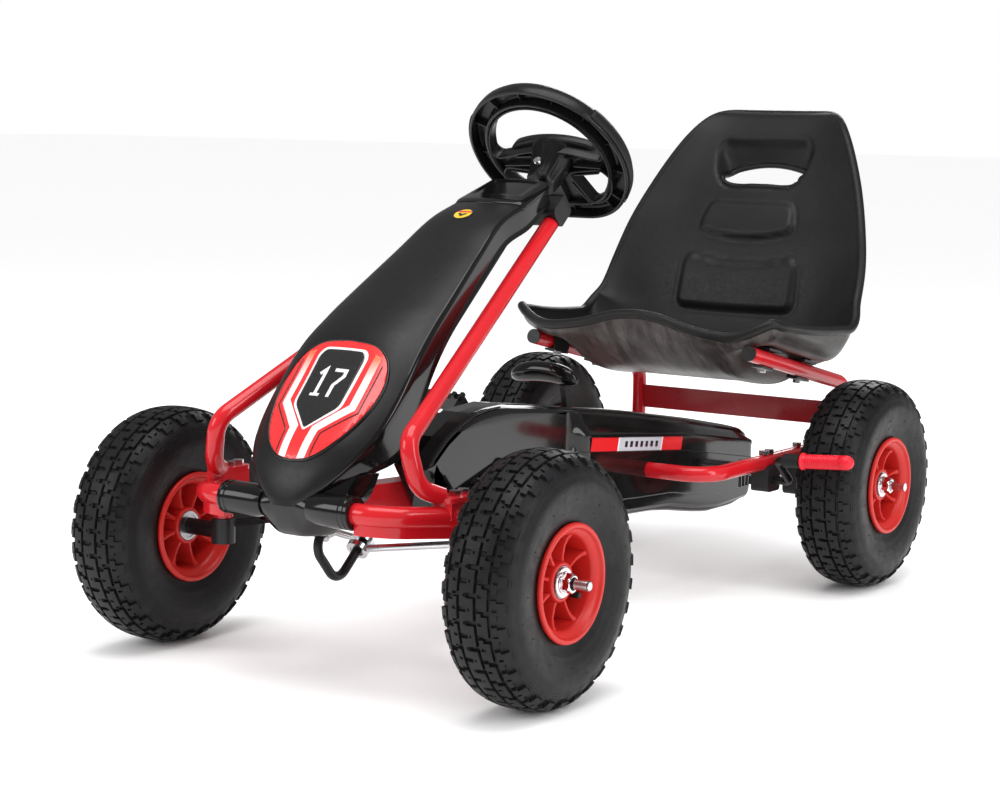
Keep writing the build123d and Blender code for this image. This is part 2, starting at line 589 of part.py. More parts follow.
def make_shift():
    save("shift_pivot_pin", pivot_pin_solid(4))
    pivot, top = at(SHIFT_X, SHIFT_PIVOT_BACK, spine_line(SHIFT_PIVOT_BACK)), at(SHIFT_X, *SHIFT_TOP)
    plane = Plane(origin=pivot, x_dir=(1, 0, 0), z_dir=top - pivot)
    length = (top - pivot).length
    stem = plane * (Pos(0, 0, length / 2 - 6) * Box(7, 12, length - 12) + Rot(0, 90, 0) * Cylinder(9, 7))
    stem = stem - pivot_pin_solid(4 + RUN)
    save("shift_lever", stem)
    grip = plane * Pos(-SHIFT_X, 0, length) * Box(92, 22, 23.9)
    save("shift_grip", fillet(grip.edges(), 8))


# ---------------------------------------------------------------- brake

BRAKE_PIVOT_BACK, BRAKE_PIVOT_Z = 650.0, 138.0
BRAKE_X = (146.0, 190.0, 195.0, 290.0)


def make_brake():
    x0, x1, x2, x3 = BRAKE_X
    tip = at(x3, 598, 178)
    knee = at(x2, 602, 171)
    points = [at(x0, BRAKE_PIVOT_BACK, BRAKE_PIVOT_Z), at(x1, BRAKE_PIVOT_BACK, BRAKE_PIVOT_Z), knee, tip]
    lever = bent_tube(points, 5, 9)
    save("brake_lever", lever)
    run = (tip - knee).normalized()
    start = knee + run * 38
    grip = rod(start, tip, 9) + rod(start - run * 3, start, 11) + Pos(*tip) * Sphere(9)
    save("brake_grip", grip - rod(knee, tip, 5 + FIT))
    shoe = rod(knee + run * 11, knee + run * 33, 8.5)
    save("brake_shoe", shoe - rod(knee, tip, 5 + FIT))
    bracket = box_between(at(HOOP_X - 12, 634, 124), at(HOOP_X + 12, 666, HOOP_Z - 3))
    bracket = fillet(bracket.edges().filter_by(Axis.X), 5)
    bracket = bracket - hoop_solid(BAR_R + FIT)
    bracket = bracket - rod(at(100, BRAKE_PIVOT_BACK, BRAKE_PIVOT_Z), at(200, BRAKE_PIVOT_BACK, BRAKE_PIVOT_Z), 5 + RUN)
    save("brake_bracket", max(bracket.solids(), key=lambda s: s.volume))


# ---------------------------------------------------------------- bolts

def bolt(x, back, head_z, shank, across=11.0):
    """A hexagon head standing on head_z, with its shank below."""
    head = hexagon_nut(at(x, back, head_z), Vector(0, 0, 1), across, 5, 0.01)
    return head + rod(at(x, back, head_z - shank), at(x, back, head_z + 4), 3)


def make_bolts():
    top, bolts = HOOP_Z + BAR_R, []
    for side in (LEFT, RIGHT):
        for x, back in foot_bolts(side):
            bolts.append(bolt(x, back, FOOT_Z + 2.5, 8.5))
    spots = [(HOOP_X, 642), (HOOP_X, 658)]
    spots += [(side * HOOP_X, WHEELBASE + step) for side in (LEFT, RIGHT) for step in (-15, 15)]
    for x, back in spots:
        bolts.append(bolt(x, back, top, 0.1) - hoop_solid(BAR_R + FIT))
    save("frame_bolts", *bolts)


# ---------------------------------------------------------------- covers

def loft_strips(sections):
    """A solid with straight edges between matching corners of neighbouring sections."""
    wires = [Polyline(*points, close=True) for points in sections]
    return Solid.make_loft([Wire(w.edges()) for w in wires], ruled=True)


HOOD_STATIONS = [
    # back, z of the middle line, half width, wall depth, tilt of the section from upright in degrees
    (-98, 204, 36, 20, 96),
    (-97, 219, 50, 32, 88),
    (-88, 243, 62, 50, 62),
    (-66, 269, 72, 60, 48),
    (-28, 309, 79, 58, 46),
    (10, 350, 77, 46, 44),
    (84, 400, 67, 38, 33),
    (152, 441, 56, 37, 30),
    (207, 474, 48, 38, 24),
    (262, 491, 46, 36, 18),
    (318, 510, 40, 26, 16),
]


def hood_section(back, z, half, depth, tilt, wall):
    normal = Vector(0, -sin(radians(tilt)), cos(radians(tilt)))
    centre = at(0, back, z)
    shape = [(1.0, -depth), (1.0, -16), (0.95, -8), (0.80, -3.5), (0.40, -0.8), (0.0, 0.0)]
    outer = [(half * u, v) for u, v in shape]
    inner = [(half * u - (wall if u > 0.9 else wall * u * 0.4), v if v == -depth else v - wall) for u, v in shape]
    loop = outer + [(-u, v) for u, v in reversed(outer[:-1])] + [(-u, v) for u, v in inner] + [(u, v) for u, v in reversed(inner[:-1])]
    return [centre + Vector(u, 0, 0) + normal * v for u, v in loop]


def make_hood():
    sections = [hood_section(*station, 3.0) for station in HOOD_STATIONS]
    hood = loft_strips(sections)
    for side in (LEFT, RIGHT):
        hood = hood - side_bar_solid(side, BAR_R + GAP)
    hood = hood - bracket_space()
    save("nose_hood", max(hood.solids(), key=lambda s: s.volume))


def bracket_space():
    plane = Plane(origin=on_column(488), x_dir=(1, 0, 0), z_dir=COLUMN_DIR)
    return plane * Pos(0, 0, -4) * Box(106, 28, 32) + rod(on_column(460), on_column(510), 16)


def make_chin():
    """The lower nose: a tray under the hood, with sleeves round the front beam."""
    outer = [(-120, 199), (-116, 178), (-104, 163), (-86, 158), (-60, 165), (-42, 186), (-38, 206), (-70, 208)]
    inner = [(-116, 202), (-112, 180), (-102, 167), (-86, 162), (-62, 169), (-46, 187), (-42, 204), (-70, 212)]
    sleeve = rod(at(-83, BEAM_BACK, BEAM_Z), at(83, BEAM_BACK, BEAM_Z), 17.5)
    chin = yz_prism(outer, -46, 46) - yz_prism(inner, -43, 43) + sleeve
    chin = chin - beam_solid(FIT) - loft_strips([hood_section(*station, 3.0) for station in HOOD_STATIONS])
    front, rear = at(0, *SPINE_FRONT), at(0, *SPINE_REAR)
    spine_space = Plane(origin=front, x_dir=(1, 0, 0), z_dir=rear - front)
    chin = chin - spine_space * Pos(0, 0, 60) * Box(SPINE_W + 0.1, SPINE_H + 0.1, 150)
    chin = chin - rod(on_column(-60), on_column(60), 13)
    save("nose_chin", max(chin.solids(), key=lambda s: s.volume))


# ---------------------------------------------------------------- seat

SADDLE_LIFT = 0.5    # clearance between a seat saddle and its rail
SADDLE_TOP = 3.0


def ledge_z(back):
    """The height of the seat's ledges, which lie on the saddles along both rails."""
    slope = RAIL_DIR.Z / RAIL_DIR.Y
    return RAIL_FRONT[1] + slope * (back - RAIL_FRONT[0]) + (BAR_R + SADDLE_LIFT + SADDLE_TOP + 0.3) / RAIL_DIR.Y


def on_rails(back, belly, half, wall):
    return back, belly, half, wall, ledge_z(back) - belly, 0


# back, z of the shell's middle, half width, height of the side wall, height of the ledges, tilt from upright in degrees
SEAT_STATIONS = [
    (593, 324, 176, 10, 0, 24),
    on_rails(606, 304, 180, 26),
    on_rails(630, 284, 183, 46),
    on_rails(664, 264, 185, 62),
    on_rails(712, 251, 188, 74),
    on_rails(766, 246, 192, 80),
    (802, 254, 195, 74, 12, -12),
    (832, 284, 193, 60, 8, -34),
    (850, 326, 187, 42, 3, -54),
    (864, 384, 182, 22, 0, -66),
    (882, 436, 170, 18, 0, -67),
    (906, 487, 151, 18, 0, -66),
    (930, 532, 129, 16, 0, -66),
    (948, 562, 109, 14, 0, -62),
    (962, 583, 92, 9, 0, -52),
    (976, 591, 78, 5, 0, -14),
]


def seat_section(back, z, half, wall_height, step, tilt, wall):
    normal = Vector(0, sin(radians(tilt)), cos(radians(tilt)))
    centre = at(0, back, z)
    ledge = min(half * 0.765, 139)
    outer = [(half, wall_height), (half * 0.975, step + 0.4 * (wall_height - step)), (half * 0.93, step), (ledge, step),
             (half * 0.63, 1), (half * 0.3, -1), (0, -2)]
    inner = [(half - wall, wall_height), (half * 0.975 - wall, step + 0.4 * (wall_height - step) + 1),
             (half * 0.93 - wall * 0.7, step + wall), (ledge - 1, step + wall), (half * 0.63 - 2, 1 + wall),
             (half * 0.3, wall - 1), (0, wall - 2)]
    loop = outer + [(-u, v) for u, v in reversed(outer[:-1])] + [(-u, v) for u, v in inner] + [(u, v) for u, v in reversed(inner[:-1])]
    return [centre + Vector(u, 0, 0) + normal * v for u, v in loop]


def make_seat():
    shell = loft_strips([seat_section(*station, SEAT_WALL) for station in SEAT_STATIONS])
    grip_face = make_face(Polyline((-62, 30), (62, 30), (78, -24), (-78, -24), close=True))
    shell = shell - Plane(origin=at(0, 936, 530), x_dir=(1, 0, 0), z_dir=(0, 1, 0)) * extrude(grip_face, 60, both=True)
    save("seat_shell", max(shell.solids(), key=lambda s: s.volume))
    saddles = []
    for side in (LEFT, RIGHT):
        for along in (50, 150):
            plane = Plane(origin=rail_point(side, along), x_dir=(-side, 0, 0), z_dir=RAIL_DIR)
            reach, low, high = BAR_R + SADDLE_LIFT, -(BAR_R + SADDLE_LIFT + 2.5), BAR_R + SADDLE_LIFT
            outline = [(-10, high), (-10, high + SADDLE_TOP), (reach + 2.5, high + SADDLE_TOP), (reach + 2.5, low), (-3, low),
                       (-3, low + 2.5), (reach, low + 2.5), (reach, high)]
            flip = 1 if (plane.y_dir.Z > 0) else -1
            face = make_face(Polyline(*[(u, flip * v) for u, v in outline], close=True))
            saddles.append(plane * extrude(face, 17, both=True))
    save("seat_saddles", *saddles)


make_wheels()
make_column()
for kart_side, eye_along in ((LEFT, EYE_LEFT), (RIGHT, EYE_RIGHT)):
    make_knuckle(kart_side)
    make_tie_rod(kart_side, eye_along)
make_frame_tubes()
make_side_bars()
make_bracket()
make_rails()
make_axle_bearings()
make_crank()
make_rear_axle()
make_chain()
make_pedals()
make_guard()
make_shift()
make_brake()
make_bolts()
make_hood()
make_chin()
make_seat()
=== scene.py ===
import json
from math import atan2, cos, degrees, hypot, pi, radians, sin

import bmesh
import bpy
from mathutils import Matrix, Vector


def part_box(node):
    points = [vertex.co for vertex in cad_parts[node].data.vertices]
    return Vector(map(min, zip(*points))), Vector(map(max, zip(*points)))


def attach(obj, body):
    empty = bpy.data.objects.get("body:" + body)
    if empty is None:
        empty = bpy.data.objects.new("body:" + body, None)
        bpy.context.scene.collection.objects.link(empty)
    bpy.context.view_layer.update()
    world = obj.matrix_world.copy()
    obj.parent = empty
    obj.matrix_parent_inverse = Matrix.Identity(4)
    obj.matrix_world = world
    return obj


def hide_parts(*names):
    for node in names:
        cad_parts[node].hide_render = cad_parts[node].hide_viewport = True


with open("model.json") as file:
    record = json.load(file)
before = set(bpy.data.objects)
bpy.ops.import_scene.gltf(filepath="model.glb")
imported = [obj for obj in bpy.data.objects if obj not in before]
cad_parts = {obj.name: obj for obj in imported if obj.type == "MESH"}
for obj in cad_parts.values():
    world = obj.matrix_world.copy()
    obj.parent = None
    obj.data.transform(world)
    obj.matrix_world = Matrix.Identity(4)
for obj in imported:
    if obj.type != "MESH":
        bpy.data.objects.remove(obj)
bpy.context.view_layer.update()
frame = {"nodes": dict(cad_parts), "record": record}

# The kart in metres, facing -Y, with +X its driver's left. Sizes below are in millimetres, and "back" is the distance
# behind the front axle.
MM = 0.001
LEFT, RIGHT = 1, -1
tyre_low, tyre_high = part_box("front_left_tyre")
FRONT_Y = (tyre_low[1] + tyre_high[1]) / 2 / MM
AXLE_Z = (tyre_low[2] + tyre_high[2]) / 2 / MM
WHEEL_X = (tyre_low[0] + tyre_high[0]) / 2 / MM
TYRE_R = (tyre_high[2] - tyre_low[2]) / 2 / MM
rear_low, rear_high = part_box("rear_left_tyre")
WHEELBASE = (rear_low[1] + rear_high[1]) / 2 / MM - FRONT_Y

COLUMN_TILT = radians(41)
COLUMN_FOOT = (-35, 158)      # back, z
COLUMN_DIR = Vector((0, cos(COLUMN_TILT), sin(COLUMN_TILT)))
COLUMN_DOWN = Vector((0, sin(COLUMN_TILT), -cos(COLUMN_TILT)))


def at(x, back, z):
    return Vector((x, FRONT_Y + back, z)) * MM


def on_column(along, down=0.0, x=0.0):
    return at(x, *COLUMN_FOOT) + (COLUMN_DIR * along + COLUMN_DOWN * down) * MM


# ---------------------------------------------------------------- curves through numbers

def smooth_through(points, steps):
    """Points along a Catmull-Rom curve through points, which are tuples of numbers."""
    ends = [tuple(2 * a - b for a, b in zip(points[0], points[1]))] + list(points)
    ends.append(tuple(2 * a - b for a, b in zip(points[-1], points[-2])))
    out = []
    for i in range(1, len(ends) - 2):
        p0, p1, p2, p3 = ends[i - 1:i + 3]
        for k in range(steps):
            t = k / steps
            out.append(tuple(0.5 * (2 * b + (c - a) * t + (2 * a - 5 * b + 4 * c - d) * t * t
                                    + (3 * b - a - 3 * c + d) * t ** 3) for a, b, c, d in zip(p0, p1, p2, p3)))
    out.append(tuple(points[-1]))
    return out


def smoothstep(low, high, value):
    t = min(1.0, max(0.0, (value - low) / (high - low)))
    return t * t * (3 - 2 * t)


def between(points, value):
    """Straight-line lookup in a list of (input, output) pairs."""
    if value <= points[0][0]:
        return points[0][1]
    for (a, fa), (b, fb) in zip(points, points[1:]):
        if value <= b:
            return fa + (fb - fa) * (value - a) / (b - a)
    return points[-1][1]


def circle(count):
    """(cosine, sine) of each of count even steps round a circle."""
    return [(cos(2 * pi * k / count), sin(2 * pi * k / count)) for k in range(count)]


def direction(path, i):
    """The unit direction of a closed flat path at one of its points."""
    after, before = path[(i + 1) % len(path)], path[i - 1]
    du, dv = after[0] - before[0], after[1] - before[1]
    length = max(1e-6, hypot(du, dv))
    return du / length, dv / length


def running_lengths(points):
    """The distance along a line at each of its points, by their first two numbers."""
    lengths = [0.0]
    for a, b in zip(points, points[1:]):
        lengths.append(lengths[-1] + hypot(b[0] - a[0], b[1] - a[1]))
    return lengths


def round_corners(points, radius, steps=5):
    """A closed flat outline with its corners turned into arcs."""
    out, n = [], len(points)
    radii = radius if isinstance(radius, (list, tuple)) else [radius] * n
    for i in range(n):
        p, a, b = Vector(points[i]), Vector(points[i - 1]), Vector(points[(i + 1) % n])
        to_a, to_b = (a - p), (b - p)
        reach = min(radii[i], to_a.length * 0.48, to_b.length * 0.48)
        if reach < 0.01:
            out.append(tuple(p))
            continue
        start, end = p + to_a.normalized() * reach, p + to_b.normalized() * reach
        for k in range(steps + 1):
            t = k / steps
            out.append(tuple(start * (1 - t) ** 2 + p * 2 * t * (1 - t) + end * t * t))
    return out


# ---------------------------------------------------------------- materials

def base_material(name, slot_colour):
    mat = bpy.data.materials.new(name)
    mat.use_nodes = True
    mat.diffuse_color = (*slot_colour, 1)
    nodes, links = mat.node_tree.nodes, mat.node_tree.links
    return mat, nodes, links, nodes["Principled BSDF"]


def noise_node(nodes, links, coords, scale, detail=4.0, rough=0.55):
    node = nodes.new("ShaderNodeTexNoise")
    node.inputs["Scale"].default_value = scale
    node.inputs["Detail"].default_value = detail
    node.inputs["Roughness"].default_value = rough
    links.new(coords, node.inputs["Vector"])
    return node.outputs["Fac"]


def ramp_node(nodes, links, value, stops):
    node = nodes.new("ShaderNodeValToRGB")
    elements = node.color_ramp.elements
    while len(elements) < len(stops):
        elements.new(0.5)
    for element, (place, colour) in zip(elements, stops):
        element.position = place
        element.color = colour if len(colour) == 4 else (*colour, 1)
    links.new(value, node.inputs["Fac"])
    return node.outputs["Color"]


def grey(v):
    return (v, v, v)


def blend_node(nodes, links, amount, tint, colour):
    """Mixes colour into tint by amount."""
    mix = nodes.new("ShaderNodeMix")
    mix.data_type = "RGBA"
    links.new(amount, mix.inputs["Factor"])
    links.new(tint, mix.inputs["A"])
    mix.inputs["B"].default_value = (*colour, 1)
    return mix.outputs["Result"]


def math_node(nodes, links, operation, *values):
    """A maths node on sockets and numbers."""
    node = nodes.new("ShaderNodeMath")
    node.operation = operation
    for socket, value in zip(node.inputs, values):
        if isinstance(value, (int, float)):
            socket.default_value = value
        else:
            links.new(value, socket)
    return node.outputs[0]


DUST_COLOUR = (0.30, 0.28, 0.25)


def surface(name, colour, rough, metal=0.0, grain=900.0, bump=0.05, depth=0.0002, vary=0.15, wear=0.0, coat=0.0,
        coat_rough=0.08,
            specular=0.5, stretch=(1, 1, 1), streak=None, dust=0.0, pebble=0.0):
    """Moulded, painted or plated surface: colour and roughness that vary, fine grain in the bump, dust on top."""
    mat, nodes, links, shader = base_material(name, colour)
    coord = nodes.new("ShaderNodeTexCoord").outputs["Object"]
    mapping = nodes.new("ShaderNodeMapping")
    mapping.inputs["Scale"].default_value = stretch
    links.new(coord, mapping.inputs["Vector"])
    place = mapping.outputs["Vector"]
    cloud = noise_node(nodes, links, coord, 14.0, 5.0)
    fine = noise_node(nodes, links, place, grain, 3.0)
    dark = tuple(c * (1 - vary) for c in colour)
    light = tuple(min(1.0, c * (1 + vary) + vary * 0.004) for c in colour)
    tint = ramp_node(nodes, links, cloud, [(0.32, dark), (0.68, light)])
    if streak:
        lines = ramp_node(nodes, links, noise_node(nodes, links, place, 90.0, 6.0, 0.7),
                          [(0.42, grey(0)), (0.70, grey(1))])
        tint = blend_node(nodes, links, lines, tint, streak)
    if dust > 0:
        dirt = noise_node(nodes, links, coord, 55.0, 8.0, 0.7)
        amount = ramp_node(nodes, links, dirt, [(0.52, grey(0)), (0.80, grey(dust))])
        tint = blend_node(nodes, links, amount, tint, DUST_COLOUR)
    if wear > 0:
        geometry = nodes.new("ShaderNodeNewGeometry")
        chips = math_node(nodes, links, "MULTIPLY_ADD", fine, 0.06, geometry.outputs["Pointiness"])
        edge = ramp_node(nodes, links, chips, [(0.575, grey(0)), (0.64, grey(wear))])
        tint = blend_node(nodes, links, edge, tint, [min(1.0, c * 1.5 + 0.03) for c in colour])
    links.new(tint, shader.inputs["Base Color"])
    spread = noise_node(nodes, links, place, grain * 0.12, 6.0, 0.65)
    roughness = ramp_node(nodes, links, spread, [(0.30, grey(max(0.02, rough * 0.82))),
                                                 (0.72, grey(min(1.0, rough * 1.22)))])
    links.new(roughness, shader.inputs["Roughness"])
    shader.inputs["Metallic"].default_value = metal
    shader.inputs["Specular IOR Level"].default_value = specular
    shader.inputs["Coat Weight"].default_value = coat
    shader.inputs["Coat Roughness"].default_value = coat_rough
    height = fine
    if pebble > 0:
        cells = nodes.new("ShaderNodeTexVoronoi")
        cells.inputs["Scale"].default_value = pebble
        links.new(place, cells.inputs["Vector"])
        height = math_node(nodes, links, "ADD", cells.outputs["Distance"], fine)
    bumper = nodes.new("ShaderNodeBump")
    bumper.inputs["Strength"].default_value = bump
    bumper.inputs["Distance"].default_value = depth
    links.new(height, bumper.inputs["Height"])
    links.new(bumper.outputs["Normal"], shader.inputs["Normal"])
    return mat


RUBBER = surface("tyre_rubber", (0.0062, 0.0064, 0.0072), 0.44, grain=700, bump=0.35, depth=0.0004, vary=0.25,
                 dust=0.02, specular=0.22)
RIM_RED = surface("rim_plastic", (0.50, 0.016, 0.012), 0.36, grain=1400, bump=0.06, vary=0.07, wear=0.2,
                  specular=0.35)
RED_PAINT = surface("red_enamel", (0.52, 0.008, 0.014), 0.22, grain=420, bump=0.05, vary=0.05, wear=0.12, coat=0.35,
                    coat_rough=0.06, specular=0.3)
# a darker copy of the red enamel for the brace that sits in shade under the seat: painted shade
SHADED_RED_PAINT = surface("red_enamel_painted_shade", (0.30, 0.005, 0.009), 0.30, grain=420, bump=0.05, vary=0.06, wear=0.12,
                   coat=0.15, specular=0.3)
ZINC = surface("zinc_plate", (0.60, 0.60, 0.62), 0.24, metal=1.0, grain=500, bump=0.10, vary=0.10, wear=0.2)
CHROME = surface("bright_nut", (0.80, 0.80, 0.82), 0.10, metal=1.0, grain=300, bump=0.05, vary=0.05)
STEEL = surface("ground_steel", (0.42, 0.42, 0.44), 0.30, metal=1.0, grain=900, bump=0.12, vary=0.12)
BLACK_PAINT = surface("black_powder_coat", (0.006, 0.006, 0.0065), 0.33, grain=650, bump=0.16, vary=0.2, wear=0.3,
                      specular=0.28)
NYLON = surface("bush_nylon", (0.62, 0.61, 0.58), 0.45, grain=900, bump=0.08, vary=0.06)
GLOSS_BLACK = surface("gloss_black_plastic", (0.0048, 0.0044, 0.0044), 0.12, grain=260, bump=0.035, depth=0.0003,
                      vary=0.2, coat=0.25, coat_rough=0.05, specular=0.28)
SATIN_BLACK = surface("satin_black_plastic", (0.0095, 0.0088, 0.0090), 0.33, grain=1500, bump=0.08, vary=0.12,
                      coat=0.04, coat_rough=0.25, specular=0.22)
WHEEL_BLACK = surface("wheel_black_plastic", (0.0065, 0.0064, 0.0068), 0.30, grain=1100, bump=0.10, vary=0.18,
                      wear=0.15, specular=0.26)
GRIP_BLACK = surface("grip_texture", (0.0075, 0.0074, 0.0078), 0.44, grain=1200, bump=0.5, depth=0.0004, vary=0.18,
                     pebble=900, specular=0.25)
SEAT_BLACK = surface("seat_moulding", (0.0090, 0.0084, 0.0082), 0.40, grain=1300, bump=0.30, depth=0.0003, vary=0.14,
                     pebble=820, wear=0.10, specular=0.25)
SEAT_UNDER = surface("seat_underside", (0.018, 0.015, 0.014), 0.36, grain=240, bump=0.7, depth=0.0005, vary=0.3,
                     stretch=(1, 0.05, 0.3), specular=0.45, streak=(0.085, 0.075, 0.070))
REFLECTOR = surface("pedal_reflector", (0.85, 0.30, 0.02), 0.12, grain=300, bump=0.3, depth=0.0004, vary=0.05,
                    coat=0.5, pebble=420)
RED_GRIP = surface("brake_grip_rubber", (0.66, 0.008, 0.022), 0.38, grain=900, bump=0.15, vary=0.06, wear=0.1,
                   specular=0.35)
SHOE_RUBBER = surface("brake_shoe_rubber", (0.012, 0.012, 0.012), 0.6, grain=700, bump=0.3, vary=0.2, specular=0.25)
CAD_FINISH = {"tyre": RUBBER, "rim": RIM_RED, "steel": STEEL, "zinc": ZINC, "red_paint": RED_PAINT,
              "black_paint": BLACK_PAINT, "nylon": NYLON, "black_plastic": WHEEL_BLACK, "gloss_black": GLOSS_BLACK,
              "seat_plastic": SEAT_BLACK, "red_rubber": RED_GRIP, "shoe_rubber": SHOE_RUBBER}


# ---------------------------------------------------------------- meshes

def piece(name, verts, faces, material, body, nodes=(), sharp=38.0):
    """A new piece from points in metres. It rides on its body and stands for the CAD nodes named."""
    mesh = bpy.data.meshes.new(name)
    mesh.from_pydata([tuple(v) for v in verts], [], faces)
    mesh.update()
    return dress(name, mesh, material, body, nodes, sharp)


def dress(name, mesh, material, body, nodes=(), sharp=38.0):
    work = bmesh.new()
    work.from_mesh(mesh)
    bmesh.ops.recalc_face_normals(work, faces=work.faces)
    work.to_mesh(mesh)
    work.free()
    mesh.polygons.foreach_set("use_smooth", [True] * len(mesh.polygons))
    mesh.set_sharp_from_angle(angle=radians(sharp))
    mesh.materials.clear()
    mesh.materials.append(material)
    obj = bpy.data.objects.new(name, mesh)
    bpy.context.scene.collection.objects.link(obj)
    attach(obj, body)
    if nodes:
        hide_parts(*nodes)
    return obj


def add_wall(obj, thickness, offset):
    """Gives a sheet its thickness, in millimetres."""
    wall = obj.modifiers.new("wall", "SOLIDIFY")
    wall.thickness = thickness * MM
    wall.offset = offset
    return wall


BOX_FACES = [(0, 1, 2, 3), (4, 5, 6, 7), (0, 1, 5, 4), (1, 2, 6, 5), (2, 3, 7, 6), (3, 0, 4, 7)]


class Shell:
    """Collects points and faces of one piece."""

    def __init__(self):
        self.verts, self.faces = [], []

    def add(self, verts, faces, move=None):
        start = len(self.verts)
        self.verts += [move(Vector(v)) if move else Vector(v) for v in verts]
        self.faces += [tuple(start + i for i in f) for f in faces]

    def rows(self, rows, loop_along=False, loop_across=False, caps=False, move=None):
        """A sheet through rows of points. Either direction may close on itself."""
        n, m = len(rows), len(rows[0])
        faces = []
        for i in range(n if loop_along else n - 1):
            for j in range(m if loop_across else m - 1):
                a, b = i * m + j, i * m + (j + 1) % m
                c, d = ((i + 1) % n) * m + (j + 1) % m, ((i + 1) % n) * m + j
                faces.append((a, b, c, d))
        if caps:
            faces.append(tuple(range(m)))
            faces.append(tuple((n - 1) * m + j for j in range(m)))
        self.add([p for row in rows for p in row], faces, move)

    def make(self, name, material, body, slot, nodes=(), sharp=38.0):
        """The piece made of all that was collected."""
        return piece(name, self.verts, self.faces, material, body, nodes, sharp)

    def lathe(self, outline, count, move=None):
        """Turns (along X, radius) points about the X axis."""
        rows = [[(u, r * c, r * s) for c, s in circle(count)] for u, r in outline]
        self.rows(rows, loop_along=True, loop_across=True, move=move)

    def tube(self, path, radius, count=16, loop=False):
        """A round bar along points."""
        points = [Vector(p) for p in path]
        n = len(points)
        side = None
        rows = []
        for i, p in enumerate(points):
            before = points[i - 1] if (i or loop) else p
            after = points[(i + 1) % n] if (i < n - 1 or loop) else p
            ahead = (after - before).normalized()
            if side is None:
                side = ahead.cross(Vector((0, 0, 1)))
                if side.length < 0.1:
                    side = ahead.cross(Vector((1, 0, 0)))
            side = (side - ahead * side.dot(ahead)).normalized()
            up = side.cross(ahead).normalized()
            rows.append([p + side * (radius * MM * c) + up * (radius * MM * s) for c, s in circle(count)])
        self.rows(rows, loop_along=loop, loop_across=True, caps=not loop)


def plate(outlines, half, bevel, move):
    """(points, faces) of a flat plate with rounded edges: the first outline is its border, the rest are holes."""
    curve = bpy.data.curves.new("plate", "CURVE")
    curve.dimensions = "2D"
    curve.fill_mode = "BOTH"
    curve.extrude = (half - bevel) * MM
    curve.bevel_depth = bevel * MM
    curve.bevel_resolution = 3
    curve.offset = -bevel * MM
    for outline in outlines:
        spline = curve.splines.new("POLY")
        spline.points.add(len(outline) - 1)
        for point, (u, v) in zip(spline.points, outline):
            point.co = (u * MM, v * MM, 0, 1)
        spline.use_cyclic_u = True
    holder = bpy.data.objects.new("plate", curve)
    bpy.context.scene.collection.objects.link(holder)
    mesh = bpy.data.meshes.new_from_object(holder.evaluated_get(bpy.context.evaluated_depsgraph_get()))
    bpy.data.objects.remove(holder)
    work = bmesh.new()
    work.from_mesh(mesh)
    bmesh.ops.remove_doubles(work, verts=work.verts, dist=0.00002)
    verts = [move(v.co) for v in work.verts]
    index = {v: i for i, v in enumerate(work.verts)}
    faces = [tuple(index[v] for v in f.verts) for f in work.faces]
    work.free()
    bpy.data.meshes.remove(mesh)
    return verts, faces


# ---------------------------------------------------------------- tyres

TREAD_PITCHES = 30
BEAD_INSIDE = (27.5, 57.0)      # distance across and radius of the bead's inner edge
NUB_RINGS = [(96.0, 12, 0.2), (84.0, 12, 0.7), (74.0, 8, 0.45)]      # radius, how many, phase of the moulding nubs
TREAD_DEPTH = 3.4
# (distance across from the tyre's middle, radius): the outside of the rubber, from the crown to the bead
TYRE_PROFILE = [(0, 130.0), (8, 129.8), (16, 128.9), (24, 127.0), (31, 123.6), (36.2, 118.4), (39.4, 111.5),
                (41.2, 103.0), (41.4, 94.0), (40.4, 85.0), (38.4, 76.0), (35.9, 68.0), (34.4, 63.5), (33.9, 61.0)]
# Rows of blocks: distances round the section from the crown, then the share of the pitch each block covers
TREAD_ROWS = [((-0.1, 8.2), (0.00, 0.82)), ((10.8, 16.4), (0.50, 1.32)), ((16.4, 22.6), (0.64, 1.44)),
              ((25.4, 31.6), (0.00, 0.80)), ((31.6, 40.5), (0.10, 0.58))]
TREAD_DASHES = [(43.6, 44.5), (46.8, 47.7), (50.0, 50.9)]
DASH_SHARE = (0.16, 0.58)
EDGE = 0.45          # half the width of a block's sloping wall
SIPES = [((2.2, 3.4), (0.36, 0.46)), ((12.6, 16.4), (0.86, 0.96)), ((27.6, 31.6), (0.34, 0.44))]


def in_span(share, span):
    return any(span[0] <= share + k < span[1] for k in (0, 1))


def tread_height(across, share):
    """How far the rubber stands above the groove floor at a place on the tyre."""
    s = abs(across)
    if across < 0:
        share = (share + 0.5) % 1.0
    for (low, high), span in TREAD_ROWS:
        if low <= s < high:
            if not in_span(share, span):
                return 0.0
            for (a, b), cut in SIPES:
                if a <= s < b and in_span(share, cut):
                    return 0.45
            return 1.0
    for low, high in TREAD_DASHES:
        if low <= s < high:
            return 0.22 if in_span(share, DASH_SHARE) else 0.0
    return 0.0


